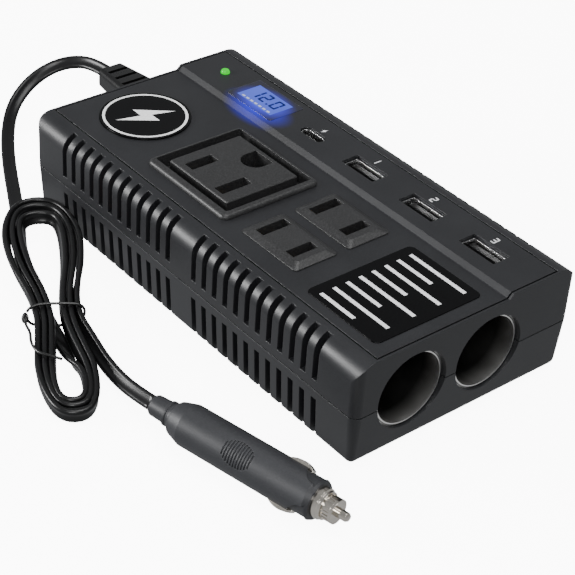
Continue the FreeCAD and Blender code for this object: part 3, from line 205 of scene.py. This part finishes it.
def sweep(name, line, profile, broad_angles):
    """Tube along a line. The profile's first axis leans from upright by broad_angles, in radians."""
    vertices = []
    count = len(profile)
    for point, heading, angle in zip(line, tangents(line), broad_angles):
        level = heading.cross(Vector((0, 0, 1))).normalized()
        upward = level.cross(heading)
        broad = upward * math.cos(angle) + level * math.sin(angle)
        thin = heading.cross(broad)
        vertices += [point + broad * a + thin * b for a, b in profile]
    faces = []
    for ring in range(len(line) - 1):
        for index in range(count):
            following = (index + 1) % count
            near, far = ring * count, (ring + 1) * count
            faces.append((near + index, near + following, far + following, far + index))
    faces.append(tuple(reversed(range(count))))
    faces.append(tuple(range((len(line) - 1) * count, len(line) * count)))
    return new_object(name, vertices, faces)


def circle_profile(radius, count=12):
    """Section of a round wire."""
    angles = [math.tau * index / count for index in range(count)]
    return [(radius * math.cos(angle), radius * math.sin(angle)) for angle in angles]


def wire(name, points, radius, resolution):
    """Round wire on a smooth line through control points in metres."""
    line = nurbs_line(points, resolution)
    return sweep(name, line, circle_profile(radius), [0.0] * len(line))


# ---- cord --------------------------------------------------------------------------------
def from_hank(u, v, z):
    """Point in metres from the hank's own frame in millimetres."""
    heading = math.radians(HANK_HEADING)
    x = HANK_CENTRE[0] + u * math.cos(heading) - v * math.sin(heading)
    y = HANK_CENTRE[1] + u * math.sin(heading) + v * math.cos(heading)
    return Vector((x, y, z)) * MM


def hank_height(u):
    """Height of the middle of the cord in the hank, which rises towards its far end."""
    return HANK_NEAR_Z + HANK_SLOPE * (u - NEAR_END)


def turn_station(u, v, turn, side, drift=0.0):
    """Station of one turn, moved in from the outline by the turns still to come."""
    pitch = FAN_PITCH if u > FAN_FROM else HANK_PITCH
    inset = pitch * (HANK_TURNS - 1 - turn - drift)
    if u == FAR_END:
        slack = FAR_SLACK if turn == 0 else 0.0
        return u - FAR_INSET[0] * inset - slack, side * (v - FAR_INSET[1] * inset)
    if u == NEAR_END:
        slack = NEAR_SLACK if inset > 0 else 0.0
        return u + NEAR_INSET[0] * inset + slack, side * (v - NEAR_INSET[1] * inset)
    return u, side * (v - inset)


def hank_turns():
    """Wound turns, clockwise from above and growing outwards: control points and their leans."""
    stations = []
    for turn in range(HANK_TURNS):
        last = turn == HANK_TURNS - 1
        stations += [turn_station(u, v, turn, 1) for u, v in SIDE_STATIONS]
        for u, v in reversed(SIDE_STATIONS):
            drift = 1.0 if u == NEAR_END else PART_DRIFT if u < DRIFT_BEFORE else 0.0
            if u > 0 or not last:
                stations.append(turn_station(u, v, turn, -1, drift))
    points = [from_hank(u, v, hank_height(u)) for u, v in stations]
    return points, [math.radians(FAN_LEAN if u > FAN_FROM else TIED_LEAN) for u, v in stations]


def cord_route():
    """Control points of the whole cord, and how far its broad side leans from upright at each."""
    lead = [Vector(point) * MM for point in LEAD_ROUTE]
    under = [from_hank(*point) for point in LEAD_UNDER_HANK]
    entry = [from_hank(u, v, hank_height(u)) for u, v in LEAD_INTO_TURNS]
    turns, turn_leans = hank_turns()
    tail = [Vector(point) * MM for point in TAIL_ROUTE]
    leans = [math.radians(lean) for lean in LEAD_LEANS + UNDER_HANK_LEANS]
    leans += [0.0] * len(entry) + turn_leans
    leans += [math.radians(lean) for lean in TAIL_LEANS]
    return lead + under + entry + turns + tail, leans


def flex_profile():
    """Section of the flat twin flex: two round cores with a groove between them on each side."""
    core = CORD_THICKNESS / 2
    reach = CORD_WIDTH / 2 - core
    angles = [math.radians(degrees) for degrees in range(-120, 121, 30)]
    right = [(reach + core * math.cos(angle), core * math.sin(angle)) for angle in angles]
    left = [(-x, -y) for x, y in right]
    return right + [(0.0, core * FLEX_GROOVE)] + left + [(0.0, -core * FLEX_GROOVE)]


def make_cord():
    """The whole cord as one flat flex, with its tie."""
    controls, leans = cord_route()
    line = nurbs_line(controls, CORD_STEPS)
    scale = (len(controls) - 1) / (len(line) - 1)
    angles = []
    for index in range(len(line)):
        low = min(int(index * scale), len(leans) - 2)
        share = index * scale - low
        angles.append(leans[low] * (1 - share) + leans[low + 1] * share)
    cord = sweep("cord", line, flex_profile(), angles)
    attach(cord, ROOT)
    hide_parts("cord_lead", "cord_hank", "cord_tail")
    tie = make_tie()
    return cord, tie


def make_tie():
    """Covered wire round the hank's middle, twisted at the left, one end trailing over the near loop."""
    ring = [
        (1.0, 8.2, 6.5), (1.0, 7.4, 8.3), (1.2, 3.0, 8.6), (0.6, -3.0, 8.4), (0.2, -6.8, 8.0),
        (0.0, -8.1, 5.5), (0.2, -7.0, 2.4), (0.6, -3.0, 1.0), (0.6, 3.0, 1.0), (0.8, 7.0, 2.0),
        (0.4, 8.3, 4.0), (-0.4, 8.8, 6.2),
    ]
    knot = [
        (-1.4, 9.8, 6.8), (-2.8, 9.6, 5.4), (-2.4, 8.2, 6.2), (-1.0, 8.8, 7.8), (-2.4, 9.8, 7.4),
        (-3.6, 9.0, 5.8), (-2.6, 8.6, 7.2), (-4.4, 9.4, 6.4),
    ]
    trail = [(-9.0, 8.4, 6.9), (-14.0, 8.9, 7.0), (-18.4, 7.6, 7.0), (-20.6, 4.4, 7.2), (-22.2, 1.4, 6.8)]
    points = [from_hank(*point) for point in ring + knot + trail]
    tie = wire("hank_tie", points, TIE_RADIUS * MM, TIE_STEPS)
    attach(tie, ROOT)
    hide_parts("twist_tie")
    return tie


# ---- print and display ------------------------------------------------------------------------
# Gaps in a seven-segment figure, in strokes.
FLAT_GAP = 0.6
UPRIGHT_GAP = 0.2
POINT_BACK = 0.2
POINT_ADVANCE = 1.6
FIGURE_GAP = 1.3
SEGMENTS = {"0": "abcdef", "1": "bc", "2": "abged", "3": "abgcd"}


def flat_piece(name, outlines, height):
    """Thin ink or foil at this height, from outlines in millimetres."""
    vertices, faces = [], []
    for outline in outlines:
        start, count = len(vertices), len(outline)
        for z in (height, height + PRINT_RISE):
            vertices += [(x * MM, y * MM, z * MM) for x, y in outline]
        faces.append(tuple(start + i for i in reversed(range(count))))
        faces.append(tuple(start + count + i for i in range(count)))
        for i in range(count):
            j = (i + 1) % count
            faces.append((start + i, start + j, start + count + j, start + count + i))
    piece = new_object(name, vertices, faces, smooth=False)
    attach(piece, ROOT)
    return piece


def reading_outline(base_x, start_y, shape):
    """Outline given as (along the reading, upwards), turned to run towards the front."""
    return [(base_x + up, start_y - along) for along, up in reversed(shape)]


def reading_bar(base_x, start_y, along, up, length, tall):
    """Upright bar in reading directions."""
    corners = [(along, up), (along + length, up), (along + length, up + tall), (along, up + tall)]
    return reading_outline(base_x, start_y, corners)


def label_bars():
    """Even rows of plain bars, every other one shorter."""
    long_bar = LABEL_LENGTH - 2 * LABEL_MARGIN
    bars = []
    for row in range(LABEL_BAR_COUNT):
        length = long_bar * (SHORT_BAR if row % 2 else 1.0)
        base_x = LABEL_FIRST_BAR - row * LABEL_BAR_PITCH
        bars.append(reading_bar(base_x, LABEL_BACK - LABEL_MARGIN, 0, 0, length, LABEL_BAR))
    return bars


def dashes(base_x, start_y):
    """Row of equal dashes, as on a scale."""
    dash = DASH_PITCH * DASH_SHARE
    return [reading_bar(base_x, start_y, i * DASH_PITCH, 0, dash, DASH_TALL) for i in range(DASH_COUNT)]


def digit(base_x, start_y, figure, wide, tall, thick):
    """Seven-segment figure."""
    half = tall / 2
    side, rise = thick * FLAT_GAP, thick * UPRIGHT_GAP
    flat, upright = wide - 2 * side, half - 2 * rise
    bars = {
        "a": (side, tall - thick, flat, thick),
        "b": (wide - thick, half + rise, thick, upright),
        "c": (wide - thick, rise, thick, upright),
        "d": (side, 0, flat, thick),
        "e": (0, rise, thick, upright),
        "f": (0, half + rise, thick, upright),
        "g": (side, half - thick / 2, flat, thick),
    }
    return [reading_bar(base_x, start_y, *bars[segment]) for segment in SEGMENTS[figure]]


def number(base_x, start_y, text, wide, tall, thick):
    """Row of seven-segment figures with small points."""
    outlines = []
    along = 0.0
    for figure in text:
        if figure == ".":
            outlines.append(reading_bar(base_x, start_y, along - thick * POINT_BACK, 0, thick, thick))
            along += thick * POINT_ADVANCE
        else:
            outlines += digit(base_x, start_y - along, figure, wide, tall, thick)
            along += wide + thick * FIGURE_GAP
    return outlines


def bolt(centre, size):
    """Lightning bolt, upright in reading directions."""
    shape = [(0.16, 0.5), (-0.27, -0.07), (-0.03, -0.07), (-0.14, -0.5), (0.27, 0.10), (0.04, 0.10)]
    return [reading_outline(centre[0], centre[1], [(along * size, up * size) for along, up in shape])]


def make_print():
    """Plain bars, port numbers and a neutral reading: no lettering."""
    ports = []
    for text, start in PORT_MARKS:
        ports += number(PORT_MARK_X, start, text, *PORT_FIGURE)
    ports += bolt(PORT_BOLT_CENTRE, PORT_BOLT)
    x, y = DISPLAY_CENTRE
    half_x, half_y = DISPLAY_SIZE[0] / 2, DISPLAY_SIZE[1] / 2
    screen = [reading_bar(x - half_x, y + half_y, 0, 0, 2 * half_y, 2 * half_x)]
    figures = number(x - READING_INSET[0], y + half_y - READING_INSET[1], READING, *READING_FIGURE)
    marks = dashes(x - half_x + DASH_INSET[0], y + half_y - DASH_INSET[1])
    return {
        flat_piece("label_print", label_bars(), LABEL_TOP): "print_white",
        flat_piece("port_print", ports, STRIP_TOP): "print_white",
        flat_piece("badge_print", bolt(BADGE_CENTRE, BADGE_BOLT), BADGE_TOP): "badge_white",
        flat_piece("display_screen", screen, WINDOW_TOP): "screen_glow",
        flat_piece("display_figures", figures, WINDOW_TOP + PRINT_RISE): "figure_blue",
        flat_piece("display_marks", marks, WINDOW_TOP + PRINT_RISE): "print_lit",
    }


# ---- material helpers ------------------------------------------------------------------------
def make_material(name):
    material = bpy.data.materials.new(name)
    material.use_nodes = True
    return material, material.node_tree, material.node_tree.nodes["Principled BSDF"]


def add(tree, kind, inputs=None, **settings):
    """New node: inputs are values or sockets to link from, settings are node properties."""
    node = tree.nodes.new(kind)
    for key, value in settings.items():
        setattr(node, key, value)
    plug_in(tree, node, inputs or {})
    return node


def plug_in(tree, target, values):
    """Link or set several inputs of a node."""
    for key, value in values.items():
        if isinstance(value, bpy.types.NodeSocket):
            tree.links.new(value, target.inputs[key])
        else:
            target.inputs[key].default_value = value


def object_coords(tree):
    return add(tree, "ShaderNodeTexCoord").outputs["Object"]


def noise(tree, size, detail=3.0, coords=None):
    """Noise whose blobs are about size metres across."""
    inputs = {"Vector": coords or object_coords(tree), "Scale": 1 / size, "Detail": detail}
    return add(tree, "ShaderNodeTexNoise", inputs).outputs["Fac"]


def ranged(tree, value, low, high, to_low, to_high):
    """Map a value from one range to another, clamped."""
    inputs = {"Value": value, "From Min": low, "From Max": high, "To Min": to_low, "To Max": to_high}
    return add(tree, "ShaderNodeMapRange", inputs).outputs["Result"]


def combine(tree, operation, first, second):
    node = add(tree, "ShaderNodeMath", operation=operation)
    plug_in(tree, node, {0: first, 1: second})
    return node.outputs["Value"]


def mixed(tree, factor, first, second):
    """Blend of two colours."""
    node = add(tree, "ShaderNodeMix", data_type="RGBA")
    plug_in(tree, node, {"Factor": factor})
    for socket, value in ((node.inputs[6], first), (node.inputs[7], second)):
        if isinstance(value, bpy.types.NodeSocket):
            tree.links.new(value, socket)
        else:
            socket.default_value = (*value, 1.0)
    return node.outputs[2]


def soft_edges(tree, radius):
    """Rounded shading normal, and a mask that is 1 on sharp edges."""
    rounded = add(tree, "ShaderNodeBevel", {"Radius": radius}, samples=6).outputs["Normal"]
    true_normal = add(tree, "ShaderNodeNewGeometry").outputs["True Normal"]
    dot = add(tree, "ShaderNodeVectorMath", operation="DOT_PRODUCT")
    tree.links.new(rounded, dot.inputs[0])
    tree.links.new(true_normal, dot.inputs[1])
    return rounded, ranged(tree, dot.outputs["Value"], 0.99, 0.8, 0.0, 1.0)


def bumped(tree, height, depth, normal=None):
    """Shading normal with a height field of that depth in metres on it."""
    inputs = {"Height": height, "Distance": depth, "Strength": 1.0}
    if normal:
        inputs["Normal"] = normal
    return add(tree, "ShaderNodeBump", inputs).outputs["Normal"]


def shade(color, factor):
    return tuple(channel * factor for channel in color)


# ---- materials -------------------------------------------------------------------------------
def moulded(name, color, roughness, grain, depth, edge_radius=0.25 * MM, edge_highlight_paint=2.2, coat=0.0,
            specular=0.35, speckle=0.35, glow=None):
    """Moulded plastic or rubber: fine grain, cloudy tone and gloss, edges lightened in the colour as
    painted highlight and wear, and optional painted spill light.
    """
    material, tree, bsdf = make_material(name)
    rounded, edges = soft_edges(tree, edge_radius)
    cloud = noise(tree, 14 * MM, 2.0)
    fine = noise(tree, grain, 2.0)
    tone = mixed(tree, ranged(tree, cloud, 0.3, 0.7, 0.0, 1.0), shade(color, 0.88), shade(color, 1.14))
    speckled = mixed(tree, ranged(tree, fine, 0.42, 0.68, 0.0, speckle), tone, shade(color, 2.6))
    # Painted edge highlight with some wear: the base colour is lightened on sharp edges.
    edge_highlight_and_wear = mixed(tree, combine(tree, "MULTIPLY", edges, 0.6), speckled, shade(color, edge_highlight_paint))
    gloss = ranged(tree, combine(tree, "ADD", cloud, fine), 0.6, 1.4, roughness - 0.05, roughness + 0.07)
    plug_in(tree, bsdf, {
        "Base Color": edge_highlight_and_wear,
        "Roughness": combine(tree, "SUBTRACT", gloss, combine(tree, "MULTIPLY", edges, 0.08)),
        "Normal": bumped(tree, fine, depth, rounded),
        "Specular IOR Level": specular,
        "Coat Weight": coat,
        "Coat Roughness": 0.12,
    })
    # Painted spill light: the plastic emits blue near the display, standing in for the display's light
    # falling on it.
    if glow:
        strength = painted_spill_near(tree, glow["centre"], glow["reach"], glow["strength"])
        plug_in(tree, bsdf, {"Emission Color": (*glow["color"], 1.0), "Emission Strength": strength})
    return material


def painted_spill_near(tree, centre, reach, strength):
    """Strength of painted spill light round a point, emitted by the plastic itself, fading out over reach
    (a length along each axis).
    """
    offset = add(tree, "ShaderNodeVectorMath", operation="SUBTRACT")
    tree.links.new(object_coords(tree), offset.inputs[0])
    offset.inputs[1].default_value = [value * MM for value in centre]
    scaled = add(tree, "ShaderNodeVectorMath", operation="DIVIDE")
    tree.links.new(offset.outputs["Vector"], scaled.inputs[0])
    scaled.inputs[1].default_value = [value * MM for value in reach]
    length = add(tree, "ShaderNodeVectorMath", operation="LENGTH")
    tree.links.new(scaled.outputs["Vector"], length.inputs[0])
    fade = ranged(tree, length.outputs["Value"], 0.25, 1.0, 1.0, 0.0)
    return combine(tree, "MULTIPLY", combine(tree, "POWER", fade, 1.6), strength)


def plated(name, color, roughness, grain=0.35 * MM, depth=0.003 * MM):
    """Nickel or chrome plate with faint turning marks and smudges."""
    material, tree, bsdf = make_material(name)
    rounded, edges = soft_edges(tree, 0.12 * MM)
    smudge = noise(tree, 3 * MM, 3.0)
    stretched = add(tree, "ShaderNodeMapping", {"Vector": object_coords(tree), "Scale": (0.15, 1.0, 1.0)})
    marks = noise(tree, grain, 2.0, stretched.outputs["Vector"])
    wear = combine(tree, "ADD", smudge, marks)
    plug_in(tree, bsdf, {
        "Base Color": mixed(tree, smudge, shade(color, 0.85), shade(color, 1.1)),
        "Metallic": 1.0,
        "Roughness": ranged(tree, wear, 0.6, 1.4, roughness * 0.7, roughness * 1.5),
        "Normal": bumped(tree, marks, depth, rounded),
    })
    return material


def socket_metal(name, color, lip_color, roughness):
    """Nickelled tube: plated colour at the rolled lip, darkening deeper in as painted shade of the
    inside.
    """
    material, tree, bsdf = make_material(name)
    coords = object_coords(tree)
    depth = add(tree, "ShaderNodeSeparateXYZ", {"Vector": coords}).outputs["Y"]
    # Painted shade: the base colour darkens from the lip to 6 mm inside.
    painted_shade_depth = ranged(tree, depth, SOCKET_LIP_Y, SOCKET_LIP_Y + 6 * MM, 0.0, 1.0)
    smudge = noise(tree, 5 * MM, 1.0, coords)
    painted_inner_shade = mixed(tree, smudge, shade(color, 0.85), shade(color, 1.15))
    plug_in(tree, bsdf, {
        "Base Color": mixed(tree, painted_shade_depth, lip_color, painted_inner_shade),
        "Metallic": 1.0,
        "Roughness": ranged(tree, smudge, 0.2, 0.8, roughness * 0.92, roughness * 1.08),
        "Normal": bumped(tree, noise(tree, 1.2 * MM, 1.0, coords), 0.0004 * MM),
    })
    return material


def lit(name, color, strength, size):
    """Glowing panel or lens, a little uneven."""
    material, tree, bsdf = make_material(name)
    uneven = noise(tree, size, 1.0)
    tint = mixed(tree, uneven, shade(color, 0.82), shade(color, 1.1))
    plug_in(tree, bsdf, {
        "Base Color": shade(color, 0.1) + (1.0,),
        "Roughness": 0.2,
        "Specular IOR Level": 0.2,
        "Emission Color": tint,
        "Emission Strength": strength,
    })
    return material


def printed(name, color):
    """White print on plastic: matte, slightly worn."""
    material, tree, bsdf = make_material(name)
    rub = noise(tree, 0.5 * MM, 4.0)
    plug_in(tree, bsdf, {
        "Base Color": mixed(tree, ranged(tree, rub, 0.35, 0.7, 0.0, 1.0), shade(color, 0.75), color),
        "Roughness": ranged(tree, rub, 0.3, 0.7, 0.45, 0.65),
    })
    return material


# Painted spill light of the display: blue emission in the case shell and in the window round the display.
STRIP_PAINTED_SPILL = {
    "color": (0.01, 0.015, 0.9), "centre": (18.4, 39.5, 35.0), "reach": (8.5, 15.0, 9.0), "strength": 1.1,
}
WINDOW_PAINTED_SPILL = {
    "color": (0.03, 0.04, 0.95), "centre": (21.5, 40.5, 35.4), "reach": (8.5, 13.0, 9.0), "strength": 1.5,
}
BLACK = (0.0085, 0.0088, 0.0100)

FINISHES = {
    "case_shell": (moulded, (BLACK, 0.40, 0.22 * MM, 0.012 * MM), {"glow": STRIP_PAINTED_SPILL}),
    "foot_rubber": (moulded, ((0.006, 0.006, 0.006), 0.75, 0.3 * MM, 0.01 * MM), {}),
    "screw_steel": (plated, ((0.25, 0.25, 0.26), 0.35), {}),
    "outlet_plastic": (moulded, ((0.0105, 0.0105, 0.0108), 0.42, 0.38 * MM, 0.03 * MM), {"speckle": 1.0}),
    "contact_brass": (plated, ((0.7, 0.5, 0.22), 0.3), {}),
    "port_steel": (plated, ((0.9, 0.9, 0.9), 0.22), {}),
    "port_plastic": (moulded, ((0.004, 0.004, 0.004), 0.5, 0.2 * MM, 0.005 * MM), {}),
    "board_green": (moulded, ((0.02, 0.12, 0.05), 0.35, 0.4 * MM, 0.01 * MM), {}),
    "window_black": (moulded, ((0.004, 0.004, 0.012), 0.18, 0.4 * MM, 0.001 * MM),
        {"coat": 0.6, "glow": WINDOW_PAINTED_SPILL}),
    "lcd_glow": (lit, ((0.30, 0.40, 1.0), 1.0, 6 * MM), {}),
    "screen_glow": (lit, ((0.13, 0.19, 1.0), 0.75, 5 * MM), {}),
    "figure_blue": (moulded, ((0.004, 0.010, 0.09), 0.4, 0.3 * MM, 0.001 * MM), {"specular": 0.1}),
    "print_lit": (lit, ((0.75, 0.8, 1.0), 0.8, 1 * MM), {}),
    "led_green": (lit, ((0.0, 0.62, 0.012), 1.5, 1 * MM), {}),
    "badge_black": (moulded, ((0.0012, 0.0012, 0.0014), 0.16, 0.5 * MM, 0.0006 * MM), {"specular": 0.12}),
    "badge_white": (printed, ((0.86, 0.86, 0.86),), {}),
    "print_white": (printed, ((0.80, 0.80, 0.82),), {}),
    # Dark first colour: painted shade inside the sockets; the second is the plated lip.
    "socket_nickel": (socket_metal, ((0.12, 0.118, 0.115), (0.85, 0.84, 0.82), 0.36), {}),
    "insulator": (moulded, ((0.004, 0.004, 0.004), 0.6, 0.3 * MM, 0.01 * MM), {}),
    "ferrite": (moulded, ((0.04, 0.04, 0.045), 0.6, 0.3 * MM, 0.02 * MM), {}),
    "winding_tape": (moulded, ((0.6, 0.4, 0.08), 0.35, 0.8 * MM, 0.01 * MM), {}),
    "can_sleeve": (moulded, ((0.015, 0.02, 0.04), 0.3, 0.8 * MM, 0.004 * MM), {}),
    "package_black": (moulded, ((0.02, 0.02, 0.02), 0.5, 0.3 * MM, 0.01 * MM), {}),
    "sink_aluminium": (plated, ((0.7, 0.7, 0.72), 0.35), {}),
    "fuse_orange": (moulded, ((0.7, 0.17, 0.02), 0.25, 1 * MM, 0.004 * MM), {}),
    "fan_plastic": (moulded, ((0.008, 0.008, 0.008), 0.45, 0.4 * MM, 0.006 * MM), {}),
    "cord_rubber": (moulded, ((0.003, 0.003, 0.0032), 0.30, 0.35 * MM, 0.006 * MM), {"specular": 0.3}),
    "tie_black": (moulded, ((0.004, 0.004, 0.004), 0.3, 0.3 * MM, 0.004 * MM), {"specular": 0.5}),
    "plug_plastic": (moulded, ((0.016, 0.0165, 0.0185), 0.46, 0.22 * MM, 0.010 * MM), {}),
    "plug_chrome": (plated, ((0.62, 0.58, 0.52), 0.14), {}),
    "fuse_glass": (moulded, ((0.6, 0.6, 0.58), 0.1, 1 * MM, 0.001 * MM), {}),
    "spring_steel": (plated, ((0.5, 0.5, 0.5), 0.3), {}),
}


def dress(finish_of):
    """Give every CAD node the material of its slot, and every new piece its own."""
    materials = {name: make(name, *sizes, **extras) for name, (make, sizes, extras) in FINISHES.items()}
    wanted = {frame["nodes"][part["node"]]: part["material_slot"] for part in frame["record"]["subparts"]}
    for piece, finish in (wanted | finish_of).items():
        piece.data.materials.clear()
        piece.data.materials.append(materials[finish])


# ---- stage ---------------------------------------------------------------------------------
def make_floor():
    """Plain pale sweep that the inverter lies on."""
    half = 3.0
    corners = [(-half, -half, 0), (half, -half, 0), (half, half, 0), (-half, half, 0)]
    floor = new_object("floor", corners, [(0, 1, 2, 3)])
    material, tree, bsdf = make_material("floor")
    paper = noise(tree, 2 * MM, 2.0)
    plug_in(tree, bsdf, {
        "Base Color": mixed(tree, paper, (0.88, 0.88, 0.88), (0.92, 0.92, 0.92)),
        "Roughness": 0.9,
        "Emission Color": (1, 1, 1, 1),
        "Emission Strength": FLOOR_GLOW,
    })
    floor.data.materials.append(material)
    floor.visible_glossy = False
    floor.visible_diffuse = False


def make_light(name, place, aim, size, power):
    """Soft box at place, facing aim."""
    data = bpy.data.lights.new(name, "AREA")
    data.shape = "RECTANGLE"
    data.size, data.size_y = size
    data.energy = power
    lamp = bpy.data.objects.new(name, data)
    lamp.location = place
    lamp.rotation_euler = (Vector(aim) - Vector(place)).to_track_quat("-Z", "Y").to_euler()
    bpy.context.scene.collection.objects.link(lamp)


def make_world():
    """Pale room, darker below the table's edge, as in a tent with black cards low down."""
    world = bpy.data.worlds.new("studio")
    world.use_nodes = True
    tree = world.node_tree
    direction = add(tree, "ShaderNodeTexCoord").outputs["Generated"]
    height = add(tree, "ShaderNodeSeparateXYZ", {"Vector": direction}).outputs["Z"]
    background = tree.nodes["Background"]
    strength = ranged(tree, height, -0.3, 0.5, *ROOM_LIGHT)
    plug_in(tree, background, {"Color": (0.96, 0.98, 1.0, 1.0), "Strength": strength})
    bpy.context.scene.world = world


def make_lights():
    make_light("overhead", (0.10, -0.15, 0.95), (0, 0, 0), (0.6, 0.6), 9)
    make_light("back_left", (-0.72, 0.55, 0.30), (0, 0, 0.02), (0.45, 0.30), 14)
    make_light("front_fill", (-0.60, -0.60, 0.60), (0, 0, 0.02), (0.4, 0.3), 6)


make_camera()
cord, tie = make_cord()
marks = make_print()
make_floor()
make_world()
make_lights()
dress({cord: "cord_rubber", tie: "tie_black"} | marks)
